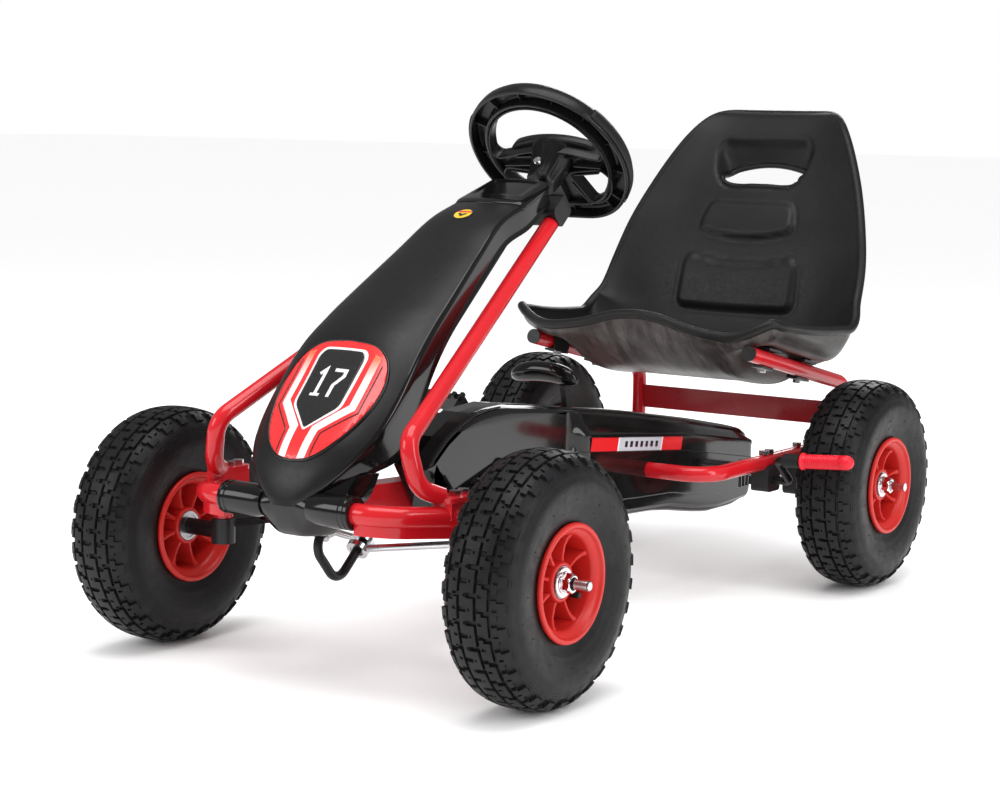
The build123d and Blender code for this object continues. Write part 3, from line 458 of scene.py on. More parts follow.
def tyre_mesh():
    curve = smooth_through(TYRE_PROFILE, 10)
    arc = running_lengths(curve)
    total = arc[-1]

    def outside(s):
        for i in range(len(arc) - 1):
            if s <= arc[i + 1] or i == len(arc) - 2:
                t = (s - arc[i]) / (arc[i + 1] - arc[i])
                (x0, r0), (x1, r1) = curve[i], curve[i + 1]
                length = hypot(x1 - x0, r1 - r0)
                return x0 + (x1 - x0) * t, r0 + (r1 - r0) * t, -(r1 - r0) / length, (x1 - x0) / length

    edges = sorted({v for (low, high), _ in TREAD_ROWS for v in (low, high) if v > 0} | {v for (a, b), _ in SIPES
                                                                                         for v in (a, b)})
    stations = {0.0, 5.6}
    for v in edges:
        stations |= {round(v - EDGE, 2), round(v + EDGE, 2)}
    for low, high in TREAD_DASHES:
        stations |= {round(low - 0.1, 2), round(low + 0.1, 2), round(high - 0.1, 2), round(high + 0.1, 2)}
    stations |= {19.5, 36.0, 42.0, 52.6}
    step = 56.0
    while step < total - 1:
        stations.add(round(step, 2))
        step += 3.6
    stations = sorted(stations) + [total]
    across = [-s for s in reversed(stations) if s > 0] + stations
    shares = {v % 1.0 for _, span in TREAD_ROWS for v in span} | {v for _, cut in SIPES
                                                                  for v in cut} | set(DASH_SHARE)
    shares |= {(v + 0.5) % 1.0 for v in shares}
    merged = []
    for v in sorted(shares):
        if not merged or v - merged[-1] > 0.018:
            merged.append(v)
    around = []
    pitch = 2 * pi * TYRE_R / TREAD_PITCHES
    for v in merged:
        around += [(v - EDGE / pitch) % 1.0, (v + EDGE / pitch) % 1.0]
    around = sorted(around)
    rows = []
    for k in range(TREAD_PITCHES):
        for share in around:
            angle = 2 * pi * (k + share) / TREAD_PITCHES
            row = []
            for s in across:
                x, r, nx, nr = outside(min(abs(s), total))
                x, nx = (x, nx) if s >= 0 else (-x, -nx)
                depth = TREAD_DEPTH * (1 - smoothstep(36, 50, abs(s)) * 0.62) * (1 - smoothstep(51, 60, abs(s)))
                fall = depth * (1 - tread_height(s, share))
                groove = 0.9 * (smoothstep(1.6, 0.3, abs(abs(s) - 73.0)) + 0.8
                                * smoothstep(1.6, 0.3, abs(abs(s) - 80.5)))
                x, r = x - nx * (fall + groove), r - nr * (fall + groove)
                row.append((x * MM, r * cos(angle) * MM, r * sin(angle) * MM))
            x, r = BEAD_INSIDE
            left, right = [(sign * x * MM, r * cos(angle) * MM, r * sin(angle) * MM) for sign in (-1, 1)]
            rows.append([left] + row + [right])
    shell = Shell()
    shell.rows(rows, loop_along=True)
    for side in (1, -1):
        for height, count, phase in NUB_RINGS:
            for k in range(count):
                a = 2 * pi * (k + phase + 0.13 * side) / count
                face = between([(r, x) for x, r in reversed(TYRE_PROFILE)], height)
                nub = [(face - 0.8, 0.55), (face + 0.5, 0.45), (face + 0.8, 0.15)]
                centre = Vector((0, height * cos(a), height * sin(a))) * MM
                small = [[(u * side * MM, r * c * MM, r * s * MM) for c, s in circle(6)] for u, r in nub]
                shell.rows(small, loop_across=True, caps=True, move=lambda v, c=centre: v + c)
    return shell


WHEEL_BODY = {("front", LEFT): "front_left_wheel", ("front", RIGHT): "front_right_wheel",
              ("rear", LEFT): "rear_axle_set", ("rear", RIGHT): "rear_right_wheel"}
SIDE_NAMES = ((LEFT, "left"), (RIGHT, "right"))


def wheels():
    """Each wheel's end, side, side's name, body, centre, share of the way back, and the turn that faces it outwards."""
    for end, far in (("front", 0.0), ("rear", 1.0)):
        for side, name in SIDE_NAMES:
            facing = Matrix.Rotation(0 if side == LEFT else pi, 4, "Z")
            yield end, side, name, WHEEL_BODY[end, side], at(side * WHEEL_X, WHEELBASE * far, AXLE_Z), far, facing


def make_tyres():
    shell = tyre_mesh()
    for end, side, name, body, centre, far, facing in wheels():
        turn = facing @ Matrix.Rotation(0.4 + 0.7 * far + 0.2 * side, 4, "X")
        piece(f"{end}_{name}_treaded_tyre", [turn @ v + centre for v in shell.verts], shell.faces, RUBBER, body,
              [f"{end}_{name}_tyre"], sharp=32)


# ---------------------------------------------------------------- rims

RIM_RIBS = 8


def scaled(points):
    return [(a * MM, b * MM) for a, b in points]


def rim_shell():
    shell = Shell()
    half = [(10, 46.2), (29.5, 47.2), (33.2, 50.6), (35.6, 54.2), (38.6, 55.4), (39.0, 57.4), (38.4, 60.2),
            (34.8, 60.8), (33.9, 58.6), (33.6, 53.2), (20, 52.8)]
    outline = half + [(-u, r) for u, r in reversed(half)]
    shell.lathe(scaled(round_corners(outline, [0, 3, 3, 2, 1.5, 1.2, 1.6, 1, 1, 1, 0]
                                     + [0, 1, 1, 1, 1.6, 1.2, 1.5, 2, 3, 3, 0], 3)), 112)
    shell.lathe(scaled(round_corners([(2.5, 18.5), (2.5, 47), (-2.5, 47), (-2.5, 18.5)], 0.4, 2)), 96)
    hub = [(25.9, 16.3), (25.9, 19.6), (23.0, 20.6), (2, 21.6), (-2, 21.6), (-23.0, 20.6), (-25.9, 19.6),
           (-25.9, 16.3)]
    shell.lathe(scaled(round_corners(hub, [0.6, 1.3, 1.2, 1, 1, 1.2, 1.3, 0.6], 3)), 72)
    for k in range(RIM_RIBS):
        a = 2 * pi * (k + 0.5) / RIM_RIBS
        turn = Matrix.Rotation(a, 4, "X")
        for end in (1, -1):
            ring = []
            for r, front, thick in ((19.5, 22.6, 2.2), (26, 21.4, 1.75), (36, 21.6, 1.75), (43.5, 24.0, 2.1),
                    (47.2, 27.2, 2.9)):
                section = [(1.5, thick + 0.35), (front - 1.0, thick), (front - 0.3, thick * 0.78),
                           (front, thick * 0.4), (front, -thick * 0.4), (front - 0.3, -thick * 0.78),
                           (front - 1.0, -thick), (1.5, -thick - 0.35)]
                ring.append([(u * end * MM, t * MM, r * MM) for u, t in section])
            shell.rows(ring, loop_across=True, caps=True, move=lambda v, m=turn: m @ v)
    return shell


def valve_shell():
    """A rubber valve stem that stands out of the rim's web, with its cap."""
    shell = Shell()
    stem = [(0, 3.6), (4, 3.6), (7, 2.9), (16, 2.7), (16.4, 3.3), (24.5, 3.2), (25.5, 2.4), (25.5, 0.1), (0, 0.1)]
    shell.lathe(scaled(stem), 18)
    return shell


NUT_STEPS = 72


def hex_reach(corner, angle):
    """Distance from a hexagon's middle to its side in one direction."""
    a = (angle + pi / 6) % (pi / 3) - pi / 6
    return corner * cos(pi / 6) / cos(a)


def nut_rows(start, across, height, bore):
    """A chamfered hexagon nut along X from start, as rings of points."""
    corner = across / 2 / cos(pi / 6)
    rows = []
    outline = [(0, bore, 0), (0, across * 0.5 - 0.4, 1), (0.7, corner, 1), (height - 1.6, corner, 1),
               (height - 0.5, across * 0.5 + 0.1, 1), (height, across * 0.5 - 1.0, 1), (height, bore + 0.8, 0),
               (height - 0.8, bore, 0)]
    for u, r, hexagonal in outline:
        ring = []
        for k in range(NUT_STEPS):
            a = 2 * pi * k / NUT_STEPS
            reach = min(r, hex_reach(corner, a)) if hexagonal else r
            ring.append(((start + u) * MM, reach * cos(a) * MM, reach * sin(a) * MM))
        rows.append(ring)
    return rows


def make_rims():
    shell, valve = rim_shell(), valve_shell()
    stem_place = Matrix.Rotation(radians(-128), 4, "X") @ Matrix.Translation(Vector((2.0, 0, 35)) * MM)
    for end, side, name, body, centre, far, facing in wheels():
        turn = facing @ Matrix.Rotation(0.12 + 0.5 * far, 4, "X")
        piece(f"{end}_{name}_moulded_rim", [turn @ v + centre for v in shell.verts], shell.faces, RIM_RED, body,
              [f"{end}_{name}_rim"], sharp=35)
        piece(f"{end}_{name}_valve_stem", [turn @ (stem_place @ v) + centre for v in valve.verts], valve.faces,
              BLACK_PAINT, body, sharp=35)


HUB_FACE = 26.4          # from the wheel's middle to the outer face of its hub
STUD_R = 6.1
KINGPIN_X = 168
BEARING_INNER, BEARING_OUTER = 16.0, 26.0


def add_axle_hardware(shell, centre, facing):
    """A zinc washer, a collar and the nut on the axle's outer end."""
    move = lambda v: facing @ v + centre
    washer, collar = HUB_FACE + 1.3, HUB_FACE + 2.6
    shell.lathe(scaled(round_corners([(HUB_FACE, STUD_R), (HUB_FACE, 15.0), (washer, 15.0), (washer, STUD_R)], 0.4,
                                     2)), 56, move)
    shell.lathe(scaled(round_corners([(washer, STUD_R), (washer, 11.4), (collar, 11.0), (collar, STUD_R)], 0.4, 2)),
                48, move)
    shell.rows(nut_rows(collar, 18, 9.6, STUD_R), loop_along=True, loop_across=True, move=move)


def make_hardware():
    upright = Matrix.Rotation(-pi / 2, 4, "Y")
    both_rear = Shell()
    for end, side, name, body, centre, far, facing in wheels():
        shell = Shell() if end == "front" else both_rear
        add_axle_hardware(shell, centre, facing)
        if end == "front":
            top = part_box(f"front_{name}_nuts")[1][2] / MM
            base = at(side * KINGPIN_X, 0, top - 8)
            shell.rows(nut_rows(0, 18, 8, STUD_R), loop_along=True, loop_across=True, move=lambda v,
                       b=base: upright @ v + b)
            shell.make(f"front_{name}_wheel_nut_set", CHROME, f"knuckle_{name}", "zinc", [f"front_{name}_nuts"],
                       sharp=30)
    both_rear.make("rear_wheel_nut_sets", CHROME, "rear_axle_set", "zinc", ["rear_axle_nuts"], sharp=30)
    for end, side, name, body, centre, far, facing in sorted(wheels(), key=lambda wheel: wheel[3] == "rear_axle_set"):
        node, kind = ("bearings", "bearing_pair") if body != "rear_axle_set" else ("drive_rings", "keyed_rings")
        make_bearings(f"{end}_{name}", centre, body, f"{end}_{name}_{node}", kind)


def make_bearings(name, centre, body, node, kind):
    """Shielded bearings in the hub's ends: outer race, recessed shield and inner race."""
    shell = Shell()
    inner, outer = BEARING_INNER, BEARING_OUTER
    race = [(inner, STUD_R), (outer, STUD_R), (outer, 8.3), (outer - 0.7, 8.6), (outer - 0.8, 12.6), (outer, 12.9),
            (outer, 16.0), (inner, 16.0)]
    for end in (1, -1):
        shell.lathe([(end * u * MM, r * MM) for u, r in race], 56, lambda v: v + centre)
    shell.make(f"{name}_{kind}", STEEL, body, "steel", [node], sharp=25)


# ---------------------------------------------------------------- nose hood

# (back, z of the middle line, half width at the crease, wall depth, tilt from upright in degrees, drop at the crease)
HOOD = [(-106.5, 191.0, 18, 13, 94, 4), (-105.0, 201.0, 31, 20, 86, 6.5), (-101.0, 215.0, 46, 30, 76, 10),
        (-94.0, 231.0, 58, 40, 68, 13), (-81.0, 252.0, 69, 53, 57, 16.5), (-58.0, 277.0, 78, 64, 49, 18),
        (-28.0, 309.0, 81, 58, 47, 18), (10.0, 350.0, 78.5, 50, 43, 18), (47.0, 377.5, 73, 45, 36, 16.5),
        (84.0, 400.0, 67.5, 41, 32, 14), (152.0, 441.0, 56, 38, 30, 10.5), (207.0, 474.0, 48, 38, 27, 8.5),
        (262.0, 491.5, 46, 36, 18, 7), (314.0, 509.0, 41, 26, 16, 6)]
HOOD_WALL = 2.6
HOOD_TOP_STEPS = 12      # points of a section from its middle to the crease
HOOD_ROWS = smooth_through(HOOD, 12)


HOOD_LENGTHS = running_lengths(HOOD_ROWS)


def hood_normal(tilt):
    return Vector((0, -sin(radians(tilt)), cos(radians(tilt))))


def crown_fall(share):
    """How much of the drop the hood's top has made at a share of its half width: flat, then quicker at the crease."""
    return 0.60 * share ** 2 + 0.40 * share ** 7


def hood_station(run):
    """The hood's numbers at a distance along its middle line, from the nose."""
    for i in range(len(HOOD_ROWS) - 1):
        if run <= HOOD_LENGTHS[i + 1] or i == len(HOOD_ROWS) - 2:
            t = (run - HOOD_LENGTHS[i]) / (HOOD_LENGTHS[i + 1] - HOOD_LENGTHS[i])
            return tuple(a + (b - a) * t for a, b in zip(HOOD_ROWS[i], HOOD_ROWS[i + 1]))


def hood_point(run, across, lift=0.0):
    """A point on the hood's top, between its creases: across in millimetres from the middle line."""
    back, z, half, _, tilt, drop = hood_station(run)
    share = min(1.0, abs(across) / half)
    return at(across, back, z) + hood_normal(tilt) * ((lift - drop * crown_fall(share)) * MM)


def hood_section(row, inset):
    """Half the section from the middle to the wall's lower edge, as (across, along the normal), set in by inset."""
    _, _, half, depth, _, drop = row
    points = []
    for k in range(HOOD_TOP_STEPS + 1):
        share = 0.955 * k / HOOD_TOP_STEPS
        points.append((half * share, -drop * crown_fall(share) - inset))
    edge = half - inset
    top = -drop - inset
    points += [(edge - 1.2, top + 0.9), (edge - 0.25, top - 0.6), (edge, top - 2.6)]
    lean = 0.07
    for k in range(1, 7):
        v = top - 2.6 - (depth - drop - 4 - 2.6) * k / 6
        points.append((edge - lean * (top - 2.6 - v), v))
    low = -depth
    edge_low = points[-1][0]
    points += [(edge_low + 0.9 * (inset == 0), low + 2.2), (edge_low + 1.2 * (inset == 0), low + 0.6),
               (edge_low - 0.2, low)]
    return points


def make_hood():
    rows = []
    for row in HOOD_ROWS:
        back, z, _, _, tilt, _ = row
        normal = hood_normal(tilt)
        outer, inner = hood_section(row, 0.0), hood_section(row, HOOD_WALL)
        loop = [(-u, v) for u, v in reversed(outer[1:])] + outer + inner[::-1] + [(-u, v) for u, v in inner[1:]]
        rows.append([at(u, back, z) + normal * (v * MM) for u, v in loop])
    shell = Shell()
    shell.rows(rows, loop_across=True)
    # the two end faces are rings between the outer and inner skins
    m, n = len(rows[0]), len(outer) * 2 - 1
    for start in (0, (len(rows) - 1) * m):
        for j in range(n - 1):
            shell.faces.append((start + j, start + j + 1, start + m - 2 - j, start + m - 1 - j))
    hood = shell.make("hood_shell", SATIN_BLACK, "frame", "gloss_black", ["nose_hood"], sharp=44)
    # the side walls and the inside are glossy, the top is satin
    hood.data.materials.append(GLOSS_BLACK)
    for polygon in hood.data.polygons:
        columns = [v % m for v in polygon.vertices]
        if all(abs(c - n // 2) >= HOOD_TOP_STEPS for c in columns) or max(columns) >= n:
            polygon.material_index = 1
    make_chin()
    make_hood_cap()
    make_plate()
    make_emblem()


# level sections of the chin: (z, [(x, back) of the right half from the tip backwards])
CHIN = [(157.5, [(0, -86), (10, -85.5), (17, -81), (24, -72), (27, -62), (26, -54)]),
        (159.5, [(0, -90.5), (13, -90), (21, -85), (28.5, -74), (31.5, -62), (31, -53)]),
        (166, [(0, -97), (14, -96.5), (25, -91), (34, -78), (38, -63), (38, -52)]),
        (176, [(0, -101.5), (14, -101), (30, -97), (41, -84), (45, -65), (46, -50)]),
        (188, [(0, -104.4), (15, -104.2), (34, -103.6), (48, -92), (53, -68), (54, -46)]),
        (196, [(0, -103.6), (18, -103.2), (38, -100), (52, -84), (60, -62), (61, -42)]),
        (206, [(0, -98), (19, -97), (38, -90), (54, -74), (62, -56), (65, -38)]),
        (222, [(0, -92), (20, -90), (40, -82), (58, -64), (66, -48), (69, -34)])]


BEAM_BACK, BEAM_Z = -92, 190
# (distance from the kart's middle, radius) of a sleeve on the front beam
SLEEVE = [(30, 14.5), (40, 16.6), (60, 17.3), (72, 17.3), (73, 16.3), (74.2, 16.3), (75, 17.3), (78, 17.3),
          (78.8, 16.3), (80, 16.3), (80.6, 17.4), (82.6, 17.2), (83.4, 16.4), (83.4, 11.4)]


def make_chin():
    """The beak under the hood and its sleeves round the front beam."""
    beak = Shell()
    rows = []
    for z, *numbers in smooth_through([(z, *[c for p in half for c in p]) for z, half in CHIN], 5):
        line = smooth_through(list(zip(numbers[0::2], numbers[1::2])), 6)
        rows.append([at(-x, back, z) for x, back in reversed(line[1:])] + [at(x, back, z) for x, back in line])
    beak.rows(rows, caps=True)
    n = len(rows)
    beak.add([row[0] for row in rows] + [row[-1] for row in rows],
             [(i, i + 1, n + i + 1, n + i) for i in range(n - 1)])
    beak.make("chin_beak", GLOSS_BLACK, "frame", "gloss_black", ["nose_chin"], sharp=40)
    sleeves = Shell()
    for side in (LEFT, RIGHT):
        rows = [[at(side * x, BEAM_BACK + r * c, BEAM_Z + r * s) for c, s in circle(56)] for x, r in SLEEVE]
        sleeves.rows(rows, loop_across=True)
        sleeves.faces.append(tuple(len(sleeves.verts) - len(SLEEVE) * 56 + k for k in range(56)))
    sleeves.make("chin_sleeves", GLOSS_BLACK, "frame", "gloss_black", sharp=34)


CAP_LENGTH, CAP_PAST_END, CAP_SIDE, CAP_ARC = 64, 1.5, 1.6, 10
CAP_STEPS, CAP_COLUMNS = 26, 32


def make_hood_cap():
    """The glossy cap over the hood's top end, with its sunk panel. Its front edge is a shallow arc."""
    start = HOOD_LENGTHS[-1] - CAP_LENGTH
    rows = []
    for i in range(CAP_STEPS + 1):
        share = i / CAP_STEPS
        run = start + (HOOD_LENGTHS[-1] + CAP_PAST_END - start) * share
        half = hood_station(run)[2]
        rise = 2.2 * smoothstep(0, 0.10, share)
        row = []
        for k in range(CAP_COLUMNS + 1):
            u = -1 + 2 * k / CAP_COLUMNS
            back, z, _, _, tilt, drop = hood_station(run - CAP_ARC * (1 - u * u) * (1 - share))
            fall = drop * crown_fall(abs(u)) + 4.0 * smoothstep(0.90, 1.0, abs(u))
            sunk = (1.6 * smoothstep(0.30, 0.36, share) * smoothstep(0.93, 0.88, share)
                    * smoothstep(0.72, 0.64, abs(u) - 0.06 * share))
            row.append(at((half + CAP_SIDE) * u, back, z) + hood_normal(tilt) * ((rise - fall - sunk + 0.2) * MM))
        rows.append(row)
    shell = Shell()
    shell.rows(rows)
    add_wall(shell.make("hood_cap", GLOSS_BLACK, "frame", "gloss_black", sharp=50), 2.4, -1)


# ---------------------------------------------------------------- number plate

PLATE_START = 48.5       # distance along the hood's middle line of the plate's lower end
PLATE_OUTLINE = [(0, 0), (17, 2.5), (32, 13), (45, 31), (55, 54), (61.5, 80), (62, 104), (56, 125), (45, 138.5),
                 (29, 146.3), (0, 148.5)]
SHIELD = [(-24, 136), (24, 136), (29, 128), (28, 66), (0, 36), (-28, 66), (-29, 128)]
STRIPE = [(47, 133), (47, 66), (18, 35), (16.5, 2.6), (7.5, 0.8), (9, 39), (38.5, 70.5), (38.5, 136)]
PIN_LINE = [(52.4, 122), (52, 63), (23.2, 32.5), (22, 5.2), (20.9, 5.0), (22.0, 33), (50.8, 63.6), (51.3, 124.5)]


def symmetric(points):
    """Mirrors the right half of an outline, given from its lower middle point to its upper middle point."""
    return points + [(-u, v) for u, v in reversed(points[1:-1])]


def on_plate(name, outline, material, lift, cell=4.0, thickness=0.35):
    """A flat shape of the plate, cut into small cells and laid on the hood."""
    work = bmesh.new()
    area = sum(a[0] * b[1] - b[0] * a[1] for a, b in zip(outline, outline[1:] + outline[:1]))
    border = outline if area > 0 else reversed(outline)
    work.faces.new([work.verts.new((u, v, 0)) for u, v in border]).normal_update()
    bmesh.ops.triangulate(work, faces=work.faces[:])
    spans = [(min(v.co[axis] for v in work.verts), max(v.co[axis] for v in work.verts)) for axis in (0, 1)]
    for across, (low, high) in zip((Vector((1, 0, 0)), Vector((0, 1, 0))), spans):
        place = low + cell
        while place < high:
            bmesh.ops.bisect_plane(work, geom=work.verts[:] + work.edges[:] + work.faces[:], plane_co=across * place,
                                   plane_no=across, dist=0.0001)
            place += cell
    bmesh.ops.remove_doubles(work, verts=work.verts[:], dist=0.01)
    verts = [hood_point(PLATE_START + v.co.y, v.co.x, lift) for v in work.verts]
    index = {v: i for i, v in enumerate(work.verts)}
    faces = [tuple(index[v] for v in f.verts) for f in work.faces]
    work.free()
    obj = piece(name, verts, faces, material, "frame", sharp=60)
    up = hood_point(PLATE_START + 60, 0, 1.0) - hood_point(PLATE_START + 60, 0, 0.0)
    if sum(p.normal.dot(up) for p in obj.data.polygons) < 0:
        obj.data.flip_normals()
    add_wall(obj, thickness, -1)


def print_material(name, colour, rough=0.22, fade=None):
    """Printed film under a clear coat. fade=(colour, low z, high z) blends upwards into a second colour."""
    mat = surface(name, colour, rough, grain=1500, bump=0.02, vary=0.03, coat=0.6, coat_rough=0.08)
    if fade:
        nodes, links = mat.node_tree.nodes, mat.node_tree.links
        shader = nodes["Principled BSDF"]
        tint = shader.inputs["Base Color"].links[0].from_socket
        other, low, high = fade
        split = nodes.new("ShaderNodeSeparateXYZ")
        links.new(nodes["Texture Coordinate"].outputs["Object"], split.inputs[0])
        reach = nodes.new("ShaderNodeMapRange")
        reach.inputs["From Min"].default_value = low
        reach.inputs["From Max"].default_value = high
        links.new(split.outputs["Z"], reach.inputs["Value"])
        faded = blend_node(nodes, links, reach.outputs["Result"], tint, other)
        links.new(faded, shader.inputs["Base Color"])
    return mat


def stroke_outline(path, width):
    """A closed band of even width about an open path of (u, v) points, with mitred corners."""
    left, right = [], []
    n = len(path)
    for i, p in enumerate(path):
        p = Vector(p)
        d0 = (p - Vector(path[i - 1])).normalized() if i else (Vector(path[1]) - p).normalized()
        d1 = (Vector(path[i + 1]) - p).normalized() if i < n - 1 else d0
        n0, n1 = Vector((-d0.y, d0.x)), Vector((-d1.y, d1.x))
        mitre = (n0 + n1).normalized()
        reach = width / 2 / max(0.4, mitre.dot(n0))
        left.append(tuple(p + mitre * reach))
        right.append(tuple(p - mitre * reach))
    return left + list(reversed(right))


PLATE_MIDDLE = 86
DIGIT_LOW, DIGIT_HIGH = 76.0, 112.0
DIGIT_MIDDLE = (DIGIT_LOW + DIGIT_HIGH) / 2
FILM_WHITE = (0.80, 0.79, 0.78)
# radius of the dark bead round the plate, which stands for the raised edge and for the painted shade of the gap
BEZEL_SHADE_R = 1.5


def make_bezel_shade_bead(outline):
    """The raised edge round the plate: a dark gloss bead that also stands for the shadow in the thin gap round the
    plate, painted shade.
    """
    shade_bead = Shell()
    path = []
    for i, (u, v) in enumerate(outline):
        du, dv = direction(outline, i)
        path.append(hood_point(PLATE_START + v - du * 1.3, u + dv * 1.3, 0.5))
    shade_bead.tube(path, BEZEL_SHADE_R, count=10, loop=True)
    shade_bead.make("plate_bezel_shade_bead", GLOSS_BLACK, "frame", "gloss_black", sharp=60)


def make_plate():
    red = print_material("plate_red", (0.68, 0.020, 0.022))
    white = print_material("plate_white", FILM_WHITE)
    top = hood_point(PLATE_START + 138, 0).z
    stripe = print_material("plate_stripe", FILM_WHITE, fade=((0.85, 0.13, 0.05), top - 0.034, top - 0.006))
    black = print_material("plate_black", (0.011, 0.011, 0.012), 0.26)
    full = symmetric(smooth_through(PLATE_OUTLINE, 5))
    on_plate("plate_ground", full, red, 1.5, thickness=1.2)
    # the dark bead round the plate: the raised edge, and painted shade for the thin gap round it
    make_bezel_shade_bead(full)
    shield = round_corners(SHIELD, [6, 6, 6, 7, 3, 7, 6], 4)
    wider, taller = 1 + 3.1 / 28, 1 + 3.1 / 50
    edge = [(u * wider, PLATE_MIDDLE + (v - PLATE_MIDDLE) * taller) for u, v in shield]
    on_plate("plate_shield_edge", edge, white, 1.95)
    on_plate("plate_shield", shield, black, 2.3, thickness=0.3)
    for side, name in SIDE_NAMES:
        on_plate(f"plate_stripe_{name}", [(side * u, v) for u, v in STRIPE], stripe, 1.95)
        on_plate(f"plate_line_{name}", [(side * u, v) for u, v in PIN_LINE], black, 1.95)
    one = [(-15.5, DIGIT_HIGH - 8), (-9.5, DIGIT_HIGH - 1.8), (-9.5, DIGIT_LOW)]
    foot = [(-15.5, DIGIT_LOW + 1.6), (-3.5, DIGIT_LOW + 1.6)]
    seven = [(1.5, DIGIT_HIGH - 2), (15.5, DIGIT_HIGH - 2), (15.5, DIGIT_HIGH - 9), (7.5, DIGIT_MIDDLE - 3),
             (7.5, DIGIT_LOW)]
    for name, path, width, lift in (("one", one, 4.0, 2.65), ("one_foot", foot, 3.2, 2.68),
            ("seven", seven, 4.0, 2.65)):
        on_plate(f"plate_digit_{name}", stroke_outline(path, width), white, lift, cell=3.0,
                 thickness=0.3)


EMBLEM_BACK, EMBLEM_SUNK = 203, -0.4


def make_emblem():
    """A plain round emblem: a yellow disc in a dark ring, with a red bar and a dark arrow on it."""
    centre_run = next(length for row, length in zip(HOOD_ROWS, HOOD_LENGTHS) if row[0] >= EMBLEM_BACK)
    yellow = print_material("emblem_yellow", (0.78, 0.50, 0.02))
    dark = print_material("emblem_dark", (0.02, 0.02, 0.02))
    red = print_material("emblem_red", (0.62, 0.02, 0.02))
    rim, disc = [[(r * c, r * s) for c, s in circle(40)] for r in (11.5, 10.2)]
    bar = [(-9.3, 3.2), (9.3, 3.2), (8.2, 6.2), (-8.2, 6.2)]
    arrow = [(0, -7), (6, 0), (2.6, 0.6), (0, -2), (-2.6, 0.6), (-6, 0)]
    for name, outline, lift, material in (("rim", rim, 0.8, dark), ("disc", disc, 1.05, yellow), ("bar", bar, 1.3, red),
                                          ("arrow", arrow, 1.3, dark)):
        points = [hood_point(centre_run + v, u, height) for height in (lift, EMBLEM_SUNK) for u, v in outline]
        n = len(outline)
        faces = [tuple(range(n)), *((k, (k + 1) % n, n + (k + 1) % n, n + k) for k in range(n)),
                 tuple(range(2 * n - 1, n - 1, -1))]
        piece(f"emblem_{name}", points, faces, material, "frame", sharp=40)


# ---------------------------------------------------------------- seat

SEAT_SHARES = (0.0, 0.2, 0.4, 0.6, 0.74, 0.85, 0.93, 0.975, 1.0)
TUB = (0.0, 0.0, 0.01, 0.03, 1.0, 1.0, 1.04, 1.45,
        2.0)            # height across a tub section: 1 is the ledge, 2 the wall's top
WING = (0.0, 0.0, 0.02, 0.13, 0.32, 0.56, 0.79, 0.92,
        1.0)         # height across the back's sections, as a share of the wall
SEAT_COLUMNS = 80         # from the middle to one side
SEAT_WALL, RIM_R, LIP_R = 5.2, 6.2, 3.6


def tub_row(back, belly, half, wall, ledge):
    heights = [ledge * h if h <= 1 else ledge + (wall - ledge) * (h - 1) for h in TUB]
    heights[4] = ledge * 0.8
    return (back, belly, half, 0.0) + tuple(h + 4 for h in heights)


def back_row(back, z, half, wall, tilt):
    return (back, z, half, tilt) + tuple(wall * h + 4 for h in WING)


SEAT_ROWS = [(591.0, 323.0, 179.0, 0.0, 18.0, 14.0, 4.0, -2.0, -4.0, 1.0, 8.5, 12.0, 14.0),
             (595.0, 312.0, 181.0, 0.0, 18.0, 14.0, 5.0, 0.0, -1.0, 4.5, 13.0, 18.0, 23.0),
             (606.0, 301.0, 182.5, 0.0, 8.0, 7.5, 5.0, 3.0, 5.0, 10.0, 15.5, 23.0, 32.0),
             tub_row(630, 284, 183.5, 45, 24), tub_row(664, 264, 185, 60, 36), tub_row(712, 251, 188, 68, 38),
             tub_row(766, 246, 192, 70, 32), (802, 254, 195, -10, 4, 4, 6, 12, 20, 30, 42, 54, 67),
             back_row(832, 284, 193, 56, -24), back_row(850, 326, 187, 35, -54), back_row(864, 384, 182, 18, -66),
             back_row(882, 436, 170, 14, -67), back_row(906, 487, 151, 12, -66), back_row(928, 532, 129, 11, -66),
             back_row(944, 562, 110, 9, -60), back_row(957, 581, 93, 5, -44), back_row(969, 589, 76, 1, -12),]
FRONT_CORNER = 22.0


def rounded_box(x, z, half_x, low, high, radius):
    """Signed distance to a rounded rectangle, negative inside."""
    qx = abs(x) - half_x + radius
    qz = abs(z - (low + high) / 2) - (high - low) / 2 + radius
    return hypot(max(qx, 0), max(qz, 0)) + min(max(qx, qz), 0) - radius


def lower_panel(x, z):
    return rounded_box(x, z, 89 - 0.06 * (z - 325), 325 + 0.0003 * x * x, 388 + 0.0019 * x * x, 14)


def upper_panel(x, z):
    return rounded_box(x, z, 76 - 0.30 * (z - 425), 420 + 0.0022 * x * x, 471, 11)


def hand_lip(x, z):
    return rounded_box(x, z, 69 + 0.26 * (z - 524), 489 + 0.0004 * x * x, 556, 24)


def hand_hole(x, z):
    return rounded_box(x, z, 60 + 0.15 * (z - 500), 495 + 0.0004 * x * x, 533 - 0.0032 * x * x, 12)


def seat_relief(x, z):
    """How far the front of the backrest stands proud, in millimetres."""
    if z < 310:
        return 0.0
    lift = 0.0
    for shape, low, high in ((lower_panel, 325, 395), (upper_panel, 420, 470)):
        d = shape(x, z)
        share = min(1.0, max(0.0, (z - low) / (high - low)))
        step = 6.5 - 3.5 * share
        lift += (8.5 - 5.0 * share) * smoothstep(0.0, -step, d) - 1.2 * smoothstep(5.0, 1.0,
                                                                                   d) * smoothstep(-1.0, 1.0, d)
    d = hand_lip(x, z)
    funnel = hand_hole(x, z)
    if d < 5:
        reach = max(0.0, -d) / max(0.5, max(0.0, -d) + max(0.0, funnel))
        soft = smoothstep(5.0, -5.0, d)
        depth = 11.0 + 20.0 * smoothstep(494, 522, z)
        lift -= depth * min(1.0, 0.16 * soft + 0.9 * reach ** 0.8) * soft
    return lift


